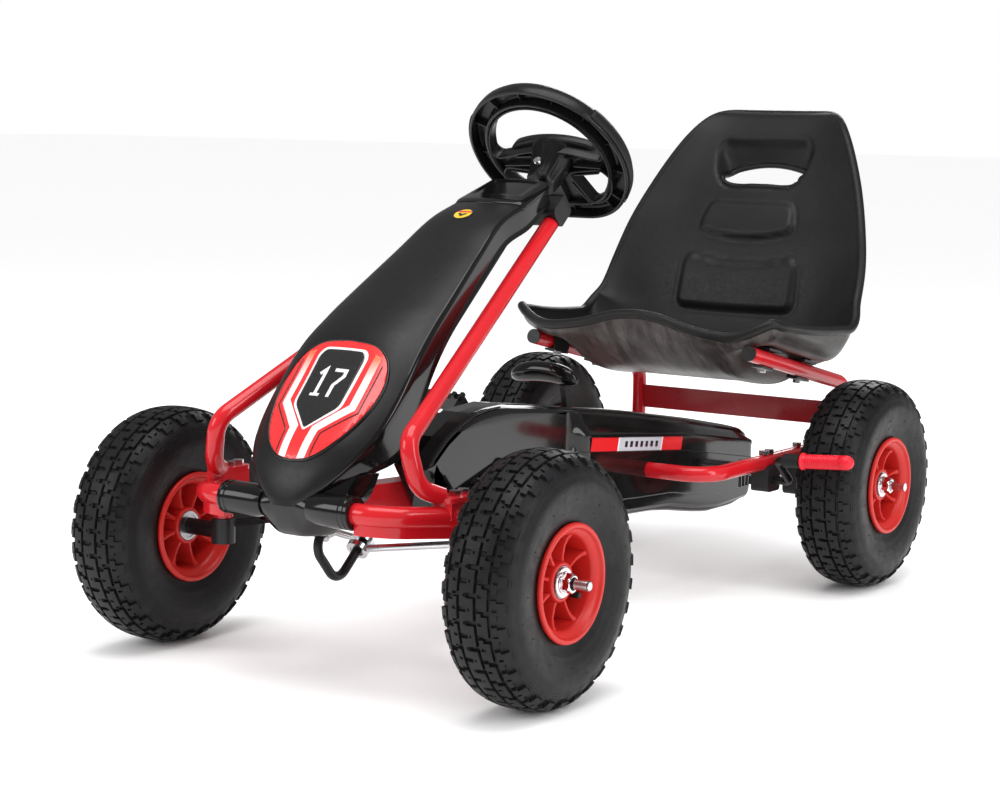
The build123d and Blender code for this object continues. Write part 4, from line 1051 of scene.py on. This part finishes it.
def seat_grid():
    """Points of the seat's sheet before its relief, row by row from the front edge to the top."""
    rows = smooth_through(SEAT_ROWS, 11)
    grid = []
    for row in rows:
        back, z, half, tilt = row[:4]
        knots = smooth_through(list(zip([s * half for s in SEAT_SHARES], row[4:])), 10)
        normal = Vector((0, sin(radians(tilt)), cos(radians(tilt))))
        forward = max(0.0, 1 - (back - rows[0][0]) / 66) ** 2
        line = []
        for k in range(-SEAT_COLUMNS, SEAT_COLUMNS + 1):
            share = abs(k) / SEAT_COLUMNS
            place = share * (len(knots) - 1)
            a = int(min(place, len(knots) - 2))
            u = knots[a][0] + (knots[a + 1][0] - knots[a][0]) * (place - a)
            v = knots[a][1] + (knots[a + 1][1] - knots[a][1]) * (place - a)
            x_share = min(0.9995, u / half)
            swing = FRONT_CORNER * (1 - (1 - x_share ** 5) ** 0.5) * forward
            line.append(at(u if k >= 0 else -u, back + swing, z) + normal * (v * MM))
        grid.append(line)
    return grid


def grid_normals(grid):
    n, m = len(grid), len(grid[0])
    normals = [[None] * m for _ in range(n)]
    for i in range(n):
        for j in range(m):
            along = grid[min(i + 1, n - 1)][j] - grid[max(i - 1, 0)][j]
            side = grid[i][min(j + 1, m - 1)] - grid[i][max(j - 1, 0)]
            normals[i][j] = side.cross(along).normalized()
    return normals


def seat_border(grid, normals):
    """The middle line of the rolled rim, behind the sheet's edge."""
    n, m = len(grid), len(grid[0])
    border = ([(0, j) for j in range(m)] + [(i, m - 1) for i in range(1, n)]
              + [(n - 1, j) for j in range(m - 2, -1, -1)] + [(i, 0) for i in range(n - 2, 0, -1)])
    ways = [normals[i][j] for i, j in border]
    for _ in range(24):
        ways = [(ways[k - 1] + ways[k] * 2 + ways[(k + 1) % len(ways)]).normalized() for k in range(len(ways))]
    return [grid[i][j] - way * (RIM_R * 0.9 * MM) for (i, j), way in zip(border, ways)]


def edge_loop(edges):
    """The points of a closed chain of edges, in order."""
    links = {}
    for edge in edges:
        a, b = edge.verts
        links.setdefault(a, []).append(b)
        links.setdefault(b, []).append(a)
    start = here = edges[0].verts[0]
    before, line = None, []
    while True:
        line.append(here.co.copy())
        onward = next((v for v in links[here] if v is not before), None)
        before, here = here, onward
        if here is None or here is start:
            return line


def by_hand_hole(point):
    return 0.485 < point.z < 0.57 and abs(point.x) < 0.085


def seat_sheet(grid, normals):
    """The seat's sheet with its relief and hand hole, and the hole's edge as a line of points."""
    n, m = len(grid), len(grid[0])
    work = bmesh.new()
    verts = []
    for i, (line, ways) in enumerate(zip(grid, normals)):
        lifts = [seat_relief(p.x / MM, p.z / MM) if i > n * 0.45 else 0.0 for p in line]
        verts.append([work.verts.new(p + way * (lift * MM)) for p, way, lift in zip(line, ways, lifts)])
    flat = [[(p.x / MM, p.z / MM) for p in line] for line in grid]
    edge = set()
    for i in range(n - 1):
        for j in range(m - 1):
            corners = [(i, j), (i, j + 1), (i + 1, j + 1), (i + 1, j)]
            mid_x, mid_z = [sum(flat[a][b][axis] for a, b in corners) / 4 for axis in (0, 1)]
            if i > n * 0.5 and hand_hole(mid_x, mid_z) < 0:
                edge.update(corners)
            else:
                work.faces.new([verts[a][b] for a, b in corners])
    # the vertices round the opening slide onto its outline
    for i, j in edge:
        v = verts[i][j]
        if v.link_faces:
            x, z = flat[i][j]
            d = hand_hole(x, z)
            gx = (hand_hole(x + 0.2, z) - hand_hole(x - 0.2, z)) / 0.4
            gz = (hand_hole(x, z + 0.2) - hand_hole(x, z - 0.2)) / 0.4
            v.co += Vector((-d * gx, -d * gz * 0.40, -d * gz)) * MM
    bmesh.ops.delete(work, geom=[v for v in work.verts if not v.link_faces], context="VERTS")
    hole_line = edge_loop([e for e in work.edges if e.is_boundary and all(by_hand_hole(v.co) for v in e.verts)])
    mesh = bpy.data.meshes.new("seat_moulding")
    work.to_mesh(mesh)
    work.free()
    return mesh, hole_line


def make_seat():
    grid = seat_grid()
    normals = grid_normals(grid)
    mesh, hole_line = seat_sheet(grid, normals)
    mesh.polygons.foreach_set("use_smooth", [True] * len(mesh.polygons))
    mesh.materials.append(SEAT_BLACK)
    mesh.materials.append(SEAT_UNDER)
    seat = bpy.data.objects.new("seat_moulding", mesh)
    bpy.context.scene.collection.objects.link(seat)
    # the wall grows away from the sitter
    up = mesh.polygons[len(mesh.polygons) // 4].normal.z
    wall = add_wall(seat, SEAT_WALL, -1 if up > 0 else 1)
    wall.use_even_offset = False
    wall.material_offset = 1
    wall.material_offset_rim = 0
    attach(seat, "seat")
    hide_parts("seat_shell")
    for name, line, passes, radius, count in (("seat_rim", seat_border(grid, normals), 9, RIM_R, 18),
                                              ("seat_hand_lip", hole_line, 3, LIP_R, 12)):
        bead = Shell()
        bead.tube(soften(line, passes), radius, count=count, loop=True)
        bead.make(name, SEAT_BLACK, "seat", "seat_plastic", sharp=80)


def soften(points, passes):
    """Smooths a closed line and spaces its points about evenly."""
    points = [Vector(p) for p in points]
    kept = [points[0]]
    for p in points[1:]:
        if (p - kept[-1]).length > 0.0035:
            kept.append(p)
    for _ in range(passes):
        kept = [kept[i] * 0.5 + (kept[i - 1] + kept[(i + 1) % len(kept)]) * 0.25 for i in range(len(kept))]
    return kept


# ---------------------------------------------------------------- steering wheel

WHEEL_ALONG, WHEEL_UP = 568.0, 12.4
RING_R, RING_FLAT = 89.5, 81.0
# across the ring: outward from its middle line, and towards the driver. The channel opens to the front of the kart.
RING_SECTION = [(12.5, -3), (11.6, 3.4), (9, 8), (4.4, 11), (-4, 11.2), (-9, 8), (-11.8, 3.6), (-12.5, 0),
                (-12.5, -8), (-11.5, -10), (-10, -10.5), (-8.5, -10), (-8, -8.5), (-7.2, 2.5), (-5, 4), (5, 4),
                (7, 2.5), (7.8, -9), (8.5, -11.2), (10, -11.5), (11.8, -10.5), (12.5, -8)]
TOP_OPENING = [(-70, 27), (-55, 51), (-30, 69), (0, 75), (30, 69), (55, 51), (70, 27), (76, 6), (70, -1), (52, 3),
               (30, 9), (0, 12), (-30, 9), (-52, 3), (-70, -1), (-76, 6)]
SIDE_WINDOW = [(20, -22), (64, -17), (74, -30), (67, -50), (53, -64), (36, -68)]
PAD = [(-64, -6), (-52, 9), (-26, 16), (0, 18), (26, 16), (52, 9), (64, -6), (50, -13), (30, -18), (19, -30),
       (17, -60), (0, -66), (-17, -60), (-19, -30), (-30, -18), (-50, -13)]
HUB_PLATE = [(-82, 0), (-74, 36), (-48, 66), (0, 82), (48, 66), (74, 36), (82, 0), (78, -26), (62, -54), (45, -72),
             (36, -77), (-36, -77), (-45, -72), (-62, -54), (-78, -26)]


def wheel_place(u, v, n=0.0):
    return on_column(WHEEL_ALONG + n, -WHEEL_UP - v, u)


def wheel_mover(along):
    """Places a flat plate's points, in metres, on the steering wheel at a distance along the column."""
    return lambda p: wheel_place(p.x / MM, p.y / MM, p.z / MM + along)


def ring_path():
    """Points of the ring's middle line: a circle with a flat at the bottom."""
    start, end = radians(-50), radians(230)
    count = 150
    points = [(RING_R * cos(start + (end - start) * k / count), RING_R * sin(start + (end - start) * k / count))
              for k in range(count + 1)]
    left = points[-1]
    corner = (41.0, -RING_FLAT)
    flat_end = (18.0, -RING_FLAT)
    bend = 14
    bend_points = list(zip(left, (-corner[0], corner[1]), (-flat_end[0], flat_end[1])))
    turn = [tuple((1 - t) ** 2 * a + 2 * t * (1 - t) * c + t * t * b for a, c, b in bend_points)
            for t in [k / bend for k in range(1, bend + 1)]]
    points += turn
    points += [(-flat_end[0] + 2 * flat_end[0] * k / 8, -RING_FLAT) for k in range(1, 8)]
    points += [(-u, v) for u, v in reversed(turn)]
    return points


GRIP_FROM, GRIP_TO, GRIP_SKIN = -42, 38, 0.9      # degrees round the ring, thickness
WEB_RIBS = [(-30, -12, -66, -14), (30, -12, 66, -14), (-26, -26, -60, -22), (26, -26, 60, -22), (-18, -38, -32, -72),
            (18, -38, 32, -72), (0, -42, 0, -74), (-12, 2, -44, 0), (12, 2, 44, 0)]


def make_ring():
    """The ring with ribs across its channel, and the textured skin of its two grips."""
    path = ring_path()
    rows, grips = [], {LEFT: [], RIGHT: []}
    for i, (u, v) in enumerate(path):
        tu, tv = direction(path, i)
        rows.append([wheel_place(u + a * tv, v - a * tu, b) for a, b in RING_SECTION])
        turn = degrees(atan2(v, u))
        for side in grips:
            angle = turn if side == LEFT else (180 - turn if turn >= 0 else -180 - turn)
            if GRIP_FROM < angle < GRIP_TO:
                grow = GRIP_SKIN * smoothstep(GRIP_FROM, GRIP_FROM + 2, angle) * smoothstep(GRIP_TO, GRIP_TO - 2,
                                                                                            angle)
                skin = []
                for a, b in RING_SECTION[-1:] + RING_SECTION[:11]:
                    swell = 1 + grow / hypot(a, b)
                    skin.append(wheel_place(u + a * swell * tv, v - a * swell * tu, b * swell))
                grips[side].append(skin)
    ring = Shell()
    ring.rows(rows, loop_along=True, loop_across=True)
    rib = [(a, b, s) for s in (-0.8, 0.8) for a, b in ((-7.6, -2.5), (7.6, -2.5), (6.8, 4.2), (-6.8, 4.2))]
    for i in range(3, len(path), 15):
        (u, v), (tu, tv) = path[i], direction(path, i)
        ring.add([wheel_place(u + a * tv + s * tu, v - a * tu + s * tv, b) for a, b, s in rib], BOX_FACES)
    ring.make("wheel_ring", WHEEL_BLACK, "steering", "black_plastic", ["steering_wheel"], sharp=34)
    for side, name in SIDE_NAMES:
        grip = Shell()
        grip.rows(grips[side])
        skin = grip.make(f"wheel_grip_{name}", GRIP_BLACK, "steering", "black_plastic", sharp=60)
        add_wall(skin, GRIP_SKIN, 0)


def make_steering_wheel():
    make_ring()
    windows = [round_corners(SIDE_WINDOW, [5, 5, 9, 10, 9, 5]),
               round_corners([(-u, v) for u, v in reversed(SIDE_WINDOW)], [5, 9, 10, 9, 5, 5])]
    top = round_corners(TOP_OPENING, [12, 18, 20, 20, 20, 18, 12, 6, 5, 10, 14, 14, 14, 10, 5, 6])
    web = Shell()
    web.add(*plate([round_corners(HUB_PLATE, 14), top] + windows, 4.6, 1.2, wheel_mover(2.0)))
    for line in [top] + windows:
        web.add(*plate([offset_line(line, 2.2), line], 8.0, 0.7, wheel_mover(-2.6)))
    # stiffening ribs on the web's front face
    for u0, v0, u1, v1 in WEB_RIBS:
        d = Vector((u1 - u0, v1 - v0)).normalized()
        s = Vector((-d.y, d.x)) * 0.8
        base = [(u0 - s.x, v0 - s.y), (u1 - s.x, v1 - s.y), (u1 + s.x, v1 + s.y), (u0 + s.x, v0 + s.y)]
        web.add([wheel_place(u, v, depth) for depth in (-2, -9.5) for u, v in base], BOX_FACES)
    web.make("wheel_web", WHEEL_BLACK, "steering", "black_plastic", sharp=34)
    make_wheel_hub()


def offset_line(line, reach):
    """A closed outline grown outwards."""
    area = sum(a[0] * b[1] - b[0] * a[1] for a, b in zip(line[-1:] + line, line))
    sign = 1 if area > 0 else -1
    out = []
    for i, (u, v) in enumerate(line):
        du, dv = direction(line, i)
        out.append((u + sign * dv * reach, v - sign * du * reach))
    return out


def make_wheel_hub():
    """The fluted cone between the bracket and the wheel, and the domed cap on the driver's side."""
    hub = Shell()
    profile = [(-42, 14.5), (-42, 16.8), (-40.5, 17.4), (-36, 18), (-20, 21), (-6, 25), (-2, 27.5), (3, 29), (3, 10)]
    rows = []
    count = 96
    for along, r in profile:
        row = []
        for k in range(count):
            a = 2 * pi * k / count
            flute = 1.0 + 0.055 * smoothstep(0.55, 0.95, abs(cos(4 * a))) if -41 < along < -3 else 1.0
            rise = -6 * smoothstep(-30, 0, along)
            row.append(on_column(WHEEL_ALONG + along, rise + r * flute * cos(a), r * flute * sin(a)))
        rows.append(row)
    hub.rows(rows, loop_across=True)
    hub.faces += [tuple(range(count)), tuple((len(rows) - 1) * count + k for k in range(count))]
    hub.make("wheel_neck", WHEEL_BLACK, "steering", "black_plastic", sharp=34)
    cap = Shell()
    outline = round_corners(PAD, [6, 12, 14, 14, 14, 12, 6, 8, 8, 8, 10, 10, 10, 8, 8, 8])
    cap.add(*plate([outline], 6.0, 3.0, wheel_mover(9.5)))
    cap.make("wheel_cap", WHEEL_BLACK, "steering", "black_plastic", sharp=34)


# ---------------------------------------------------------------- chain guard

GUARD_TOP = [(62, 213.5), (78, 226), (100, 242), (126, 255), (150, 263), (178, 266.4), (210, 267), (270, 260.5),
             (330, 252), (480, 232), (640, 206), (740, 187.4), (768, 181), (782, 174), (789, 166), (792, 156)]
GUARD_BASE = [(62, 212), (80, 189), (104, 157), (134, 138), (170, 126), (210, 121.5), (330, 116), (470, 106),
              (540, 102), (580, 97), (640, 87), (680, 81.5), (745, 81), (770, 85), (782, 94), (789, 106), (792, 118)]
POD_TOP = [(330, 246), (352, 243), (480, 224), (640, 198), (756, 177), (784, 164)]
POD_BASE = [(330, 122), (352, 120), (470, 111), (560, 106), (640, 92), (690, 87), (764, 90), (780, 106)]
DECAL_TOP = [(330, 218), (370, 213.5), (582, 191.5), (784, 158)]
GUARD_SPLIT, GUARD_FACE, POD_RISE = 38.3, 60.0, 14.6


def guard_taper(x, back):
    """Draws the guard in towards its split line at the rear end."""
    return GUARD_SPLIT + (x - GUARD_SPLIT) * (1 - 0.22 * smoothstep(770, 792, back) ** 2)


def guard_section(back):
    """Half a section of the guard, from the split line over the face and back, as (x, z)."""
    top, base = between(GUARD_TOP, back), between(GUARD_BASE, back)
    pod = smoothstep(336, 362, back) * smoothstep(788, 768, back)
    face = GUARD_FACE
    high = min(between(POD_TOP, back), top - 4)
    ledge = min(between(DECAL_TOP, back) + 4, high - 4)
    low = max(between(POD_BASE, back), base + 3)
    span = top - base
    lip = min(8.0, span * 0.3)
    rise = POD_RISE * pod
    points = [(GUARD_SPLIT, top + 0.4), (46, top + 0.2), (52, top - 0.5), (56, top - 1.8), (58.8, top - 0.50 * lip),
              (face, top - lip)]
    if span > 30:
        points += [(face, high + 0.5), (face + 0.12 * rise, high - 0.5),
                   (face + 0.50 * rise, (high + ledge) / 2 + 1.2), (face + 0.93 * rise, ledge + 1.6),
                   (face + rise, ledge - 1.2), (face + rise, ledge - 3.5), (face + rise * 0.93, ledge - 4.2),
                   (face + rise * 0.93, ledge - 20.5), (face + rise, ledge - 21.2)]
        middle = ledge - 30
        points += [(face + rise, middle), (face + rise, low + 22), (face + rise * 0.98, low + 19),
                   (face + rise * 0.88, low + 17.5), (face + rise * 0.86, low + 12), (face + rise * 0.78, low + 5),
                   (face + rise * 0.55, low + 1), (face + 0.1 * rise, low - 0.5)]
    else:
        z_high, z_low = top - lip, base + min(6.0, span * 0.2)
        points += [(face, z_high + (z_low - z_high) * k / 17) for k in range(17)]
    foot = min(6.0, span * 0.2)
    points += [(face, base + foot), (58.6, base + 0.35 * foot), (55, base), (48, base), (GUARD_SPLIT, base)]
    return [(guard_taper(x, back), z) for x, z in points]


def make_guard():
    stations = [62 + 4 * k for k in range(22)] + [150 + 9 * k for k in range(20)] + [330 + 4 * k for k in range(10)] + \
               [370 + 13 * k for k in range(30)] + [760, 764, 768, 772, 776, 780, 783, 786, 789, 791, 792]
    stations = sorted(set(stations))
    rows = [[at(x, back, z) for x, z in guard_section(back)] for back in stations]
    shell = Shell()
    shell.rows(rows, loop_across=True, caps=True)
    guard = shell.make("guard_shell", GLOSS_BLACK, "frame", "gloss_black", ["chain_guard_outer"], sharp=26)
    guard.data.materials.append(SATIN_BLACK)
    for polygon in guard.data.polygons:
        if polygon.normal.z > 0.3 and polygon.center.y / MM - FRONT_Y < 150:
            polygon.material_index = 1
    make_guard_ribs()
    make_guard_stripe()


def make_guard_ribs():
    """A raised bead along the front edge, and the upright flutes at the rear end."""
    bead = Shell()
    bead.tube([at(58.6, back, between(GUARD_TOP, back) - 1.5) for back in range(66, 200, 4)], 1.3, count=8)
    bead.make("guard_front_bead", SATIN_BLACK, "frame", "gloss_black", sharp=60)
    flutes = Shell()
    for k in range(5):
        back = 738 + 9.5 * k
        reach = guard_taper(POD_RISE * smoothstep(788, 768, back) + GUARD_FACE, back)
        top, low = min(between(DECAL_TOP, back) - 22, 158), 108
        flutes.tube([at(reach - 0.6, back, low + (top - low) * i / 12) for i in range(13)], 2.4, count=10)
    flutes.make("guard_flutes", GLOSS_BLACK, "frame", "gloss_black", sharp=60)


def make_guard_stripe():
    """The strip along the guard: red ends, and a silver middle with plain slanted bars."""
    red = print_material("strip_red", (0.66, 0.012, 0.016))
    silver = print_material("strip_silver", (0.46, 0.46, 0.50), 0.30)
    white = print_material("strip_white", (0.78, 0.78, 0.78))
    dark = print_material("strip_dark", (0.012, 0.012, 0.014))
    lean, tall = 4.0, 16.0
    face = GUARD_FACE + POD_RISE * 0.93

    def strip(name, spans, material, lift, low=0.0, high=1.0):
        shell = Shell()
        for start, end in spans:
            rows = []
            count = max(2, int((end - start) / 6))
            for k in range(count + 1):
                base = start + (end - start) * k / count
                row = []
                for share in (low, (low + high) / 2, high):
                    back = base + lean * (share - 0.5)
                    row.append(at(face + lift, back, between(DECAL_TOP, back) - tall * (1 - share) - 0.3))
                rows.append(row + [p + Vector((-0.4 * MM, 0, 0)) for p in reversed(row)])
            shell.rows(rows, loop_across=True, caps=True)
        shell.make(name, material, "frame", "red_paint" if material is red else "gloss_black", sharp=30)

    strip("strip_red_ends", [(368, 428), (533, 582)], red, 0.35)
    strip("strip_white_edges", [(428, 430.6), (530.4, 533)], white, 0.35)
    strip("strip_silver_middle", [(430.6, 530.4)], silver, 0.35)
    strip("strip_bars", [(444 + 12 * k, 450 + 12 * k) for k in range(7)], dark, 0.55, 0.28, 0.72)


# ---------------------------------------------------------------- grips, pedals and fittings

def box_centre(node):
    low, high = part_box(node)
    return (Vector(low) + Vector(high)) / 2


def make_small_parts():
    make_shift_grip()
    make_brake_grip()
    make_reflectors()
    make_stub_threads()
    make_rail_bolts()
    make_column_nut()


# the shift grip in metres: its half depth, half height, the droop of its ends and how far its middle rides up
SHIFT_GRIP_R, SHIFT_GRIP_HIGH, SHIFT_GRIP_DROOP, SHIFT_GRIP_LIFT = 0.0112, 0.0130, 0.0075, 0.0018
SHIFT_GRIP_STATIONS = [-1, -0.985, -0.95, -0.9, -0.82, -0.7, -0.5, -0.25, 0, 0.25, 0.5, 0.7, 0.82, 0.9, 0.95, 0.985,
                       1]


def make_shift_grip():
    """A T grip like a drooping capsule, with its moulding seam."""
    low, high = (Vector(v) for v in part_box("shift_grip"))
    middle, half = (low + high) / 2, (high - low) / 2
    lean = radians(15)
    up = Vector((0, -sin(lean), cos(lean)))
    fore = Vector((0, cos(lean), sin(lean)))
    shell, rows, seam = Shell(), [], []
    for t in SHIFT_GRIP_STATIONS:
        swell = max(0.03, (1 - abs(t) ** 4) ** 0.5) * (1 - 0.06 * (1 - t * t))
        centre = middle + Vector((half.x * t, 0, 0)) - up * (SHIFT_GRIP_DROOP * t * t - SHIFT_GRIP_LIFT)
        rows.append([centre + fore * (SHIFT_GRIP_R * swell * c) + up * (SHIFT_GRIP_HIGH * swell * s) for c,
                     s in circle(28)])
        seam.append((centre, swell))
    shell.rows(rows, loop_across=True, caps=True)
    shell.make("shift_grip_capsule", GLOSS_BLACK, "shift", "gloss_black", ["shift_grip"], sharp=50)
    line = Shell()
    for side in (1, -1):
        line.tube([centre + fore * (side * SHIFT_GRIP_R * swell) for centre, swell in seam], 0.55, count=8)
    line.make("shift_grip_seam", WHEEL_BLACK, "shift", "gloss_black", sharp=50)


def make_brake_grip():
    """A ribbed rubber grip with a flange at its inner end and a domed tip."""
    tip, knee = at(290, 598, 178), at(195, 602, 171)
    run = (tip - knee).normalized()
    side = run.cross(Vector((0, 0, 1))).normalized()
    up = side.cross(run)
    length = (tip - knee).length / MM
    profile = [(35, 5.2), (35, 9.6), (35.8, 10.6), (37.2, 10.6), (38, 9.6), (39, 8.8)]
    for k in range(15):
        start = 41 + 3.1 * k
        profile += [(start, 8.8), (start + 0.7, 8.1), (start + 1.6, 8.1), (start + 2.3, 8.8)]
    profile += [(length - 2, 8.9)] + [(length - 1 + 9.5 * sin(radians(a)), 8.9 * cos(radians(a)))
                                      for a in (0, 20, 40, 58, 72, 82, 88)]
    rows = [[knee + run * (u * MM) + side * (r * MM * c) + up * (r * MM * s) for c, s in circle(32)] for u,
            r in profile]
    grip = Shell()
    grip.rows(rows, loop_across=True, caps=True)
    grip.make("brake_grip_ribbed", RED_GRIP, "brake", "red_rubber", ["brake_grip"], sharp=50)


PEDAL_TILT, REFLECTOR_REACH = radians(42), 34.6


def make_reflectors():
    """A reflector in the front and rear edge of each pedal."""
    tilt = PEDAL_TILT
    ahead = Vector((0, cos(tilt), sin(tilt)))
    up = Vector((0, -sin(tilt), cos(tilt)))
    for name in ("left", "right"):
        middle = box_centre(f"{name}_pedal")
        for edge, label in ((1, "rear"), (-1, "front")):
            shell = Shell()
            outline = round_corners([(-22, -6.5), (22, -6.5), (22, 6.5), (-22, 6.5)], 2.5)
            move = lambda p: middle + Vector((p.x, 0, 0)) + up * p.y + ahead * (edge * (REFLECTOR_REACH * MM + p.z))
            shell.add(*plate([outline], 1.2, 0.5, move))
            shell.make(f"{name}_pedal_reflector_{label}", REFLECTOR, f"pedal_{name}", "nylon", sharp=40)


def make_stub_threads():
    """The zinc-plated threaded ends of the front stub axles."""
    for side, name in SIDE_NAMES:
        profile = [(283, 4.6)]
        for k in range(12):
            start = 283.4 + 1.25 * k
            profile += [(start, 5.08), (start + 0.45, 5.32), (start + 0.65, 5.32), (start + 1.1, 5.08)]
        profile += [(299.2, 5.1), (300.35, 4.2), (300.35, 0.4)]
        rows = [[at(side * x, r * c, AXLE_Z + r * s) for c, s in circle(32)] for x, r in profile]
        shell = Shell()
        shell.rows(rows, loop_across=True, caps=True)
        shell.make(f"stub_thread_{name}", ZINC, f"knuckle_{name}", "zinc", sharp=30)


def hex_head(centre, axis, across, height, washer=0.0):
    """A chamfered hexagon head, with a round washer under it if wanted, as rings of points."""
    axis = axis.normalized()
    side = axis.cross(Vector((1, 0.2, 0.1))).normalized()
    other = axis.cross(side)
    rows = []
    count = 36
    levels = []
    if washer:
        levels += [(-1.4, washer, 0), (-1.4, washer + 0.1, 0), (-0.1, washer, 0)]
    levels += [(0, across / 2, 1), (height - 0.9, across / 2, 1), (height - 0.2, across / 2 - 0.4, 0.4),
               (height, across / 2 - 1.1, 0)]
    for rise, radius, hexed in levels:
        row = []
        for k in range(count):
            a = 2 * pi * k / count
            turn = (a % (pi / 3)) - pi / 6
            r = radius * (1 / cos(turn) if hexed == 1 else (1 + (1 / cos(turn) - 1) * hexed))
            row.append(centre + axis * (rise * MM) + (side * cos(a) + other * sin(a)) * (r * MM))
        rows.append(row)
    return rows


RAIL_X, BOLT_PLACES, RAIL_RADIUS = 150, (50, 150), 12.6      # bolt places along the rail from its front end


def make_rail_bolts():
    """A bolt under each of the seat's saddles."""
    rail_front, rail_rear = at(0, 597, 299), at(0, 846, 243)
    run = (rail_rear - rail_front).normalized()
    up = Vector((0, -run.z, run.y))
    bolts = Shell()
    for side in (LEFT, RIGHT):
        for along in BOLT_PLACES:
            spot = rail_front + Vector((side * RAIL_X * MM, 0, 0)) + run * (along * MM) - up * (RAIL_RADIUS * MM)
            bolts.rows(hex_head(spot, -up, 9, 4.2, 6.4), loop_across=True, caps=True)
    bolts.make("seat_rail_bolts", ZINC, "seat", "zinc", sharp=30)


def make_column_nut():
    """The nut at the foot of the steering column."""
    shell = Shell()
    shell.rows(hex_head(on_column(-9), COLUMN_DIR, 17, 7, 10.5), loop_across=True, caps=True)
    shell.make("column_foot_nut", ZINC, "steering", "zinc", sharp=30)


PIECES = [make_tyres, make_rims, make_hardware, make_hood, make_seat, make_steering_wheel, make_guard,
          make_small_parts]


# ---------------------------------------------------------------- camera, floor and lights

CAMERA_AT = (1422.2, -1839.3, 588.1)
CAMERA_AZIMUTH, CAMERA_ELEVATION, CAMERA_ROLL = radians(33.79), radians(7.32), radians(0.91)
CAMERA_LENS = 81.15
WORLD_DIFFUSE, WORLD_GLOSSY = 1.0, 0.25


def make_camera():
    data = bpy.data.cameras.new("camera")
    data.lens = CAMERA_LENS
    data.sensor_width = 36
    camera = bpy.data.objects.new("camera", data)
    camera.location = at(*CAMERA_AT)
    a, e = CAMERA_AZIMUTH, CAMERA_ELEVATION
    back = Vector((sin(a) * cos(e), -cos(a) * cos(e), sin(e)))
    right = Vector((cos(a), sin(a), 0))
    up = back.cross(right)
    turned_right = right * cos(CAMERA_ROLL) + up * sin(CAMERA_ROLL)
    turned_up = up * cos(CAMERA_ROLL) - right * sin(CAMERA_ROLL)
    camera.rotation_euler = Matrix((turned_right, turned_up, back)).transposed().to_euler()
    bpy.context.scene.collection.objects.link(camera)
    bpy.context.scene.camera = camera


def make_floor():
    size, step = 30.0, 24
    mesh = bpy.data.meshes.new("floor")
    verts = [(-size + 2 * size * i / step, -size + 2 * size * j / step, 0) for i in range(step + 1)
             for j in range(step + 1)]
    faces = [(i * (step + 1) + j, (i + 1) * (step + 1) + j, (i + 1) * (step + 1) + j + 1, i * (step + 1) + j + 1)
             for i in range(step) for j in range(step)]
    mesh.from_pydata(verts, [], faces)
    mesh.materials.append(surface("floor_paint", (0.99, 0.99, 0.99), 0.9, grain=90, bump=0.02, vary=0.006,
                                  specular=0.1))
    floor = bpy.data.objects.new("floor", mesh)
    bpy.context.scene.collection.objects.link(floor)


def softbox(name, place, target, size, size_y, power):
    data = bpy.data.lights.new(name, "AREA")
    data.shape = "RECTANGLE"
    data.size = size
    data.size_y = size_y
    data.energy = power
    light = bpy.data.objects.new(name, data)
    light.location = place
    light.rotation_euler = (Vector(target) - Vector(place)).to_track_quat("-Z", "Y").to_euler()
    bpy.context.scene.collection.objects.link(light)


def make_lights():
    world = bpy.data.worlds.new("studio")
    bpy.context.scene.world = world
    world.use_nodes = True
    nodes, links = world.node_tree.nodes, world.node_tree.links
    background = nodes["Background"]
    background.inputs["Color"].default_value = (1, 1, 1, 1)
    background.inputs["Strength"].default_value = WORLD_DIFFUSE
    # a white studio for the floor and the backdrop, a dimmer one for reflections
    dim = nodes.new("ShaderNodeBackground")
    dim.inputs["Color"].default_value = (1, 1, 1, 1)
    dim.inputs["Strength"].default_value = WORLD_GLOSSY
    ray = nodes.new("ShaderNodeLightPath")
    mix = nodes.new("ShaderNodeMixShader")
    links.new(ray.outputs["Is Glossy Ray"], mix.inputs["Fac"])
    links.new(background.outputs[0], mix.inputs[1])
    links.new(dim.outputs[0], mix.inputs[2])
    links.new(mix.outputs[0], nodes["World Output"].inputs["Surface"])
    bpy.context.scene.view_settings.view_transform = "Standard"
    softbox("key_above", (0.2, -0.5, 2.6), (0, 0, 0.2), 2.2, 1.6, 42)
    softbox("left_strip", (2.6, -0.2, 1.3), (0, 0, 0.25), 0.7, 2.2, 26)
    softbox("front_fill", (-1.6, -2.6, 1.5), (0, 0, 0.25), 1.4, 1.2, 22)
    softbox("rear_rim", (-0.8, 2.6, 1.7), (0, 0.1, 0.3), 1.2, 1.0, 20)


make_camera()
make_floor()
make_lights()


# ---------------------------------------------------------------- the kart

for node_name, node in frame["nodes"].items():
    slot_name = next(part["material_slot"] for part in frame["record"]["subparts"] if part["node"] == node_name)
    # the seat's cross brace gets the darker copy of the red enamel, painted shade
    material = SHADED_RED_PAINT if node_name == "seat_cross_brace" else CAD_FINISH[slot_name]
    if not node.data.materials:
        node.data.materials.append(material)
    for index in range(len(node.material_slots)):
        node.material_slots[index].material = material

for build in PIECES:
    build()
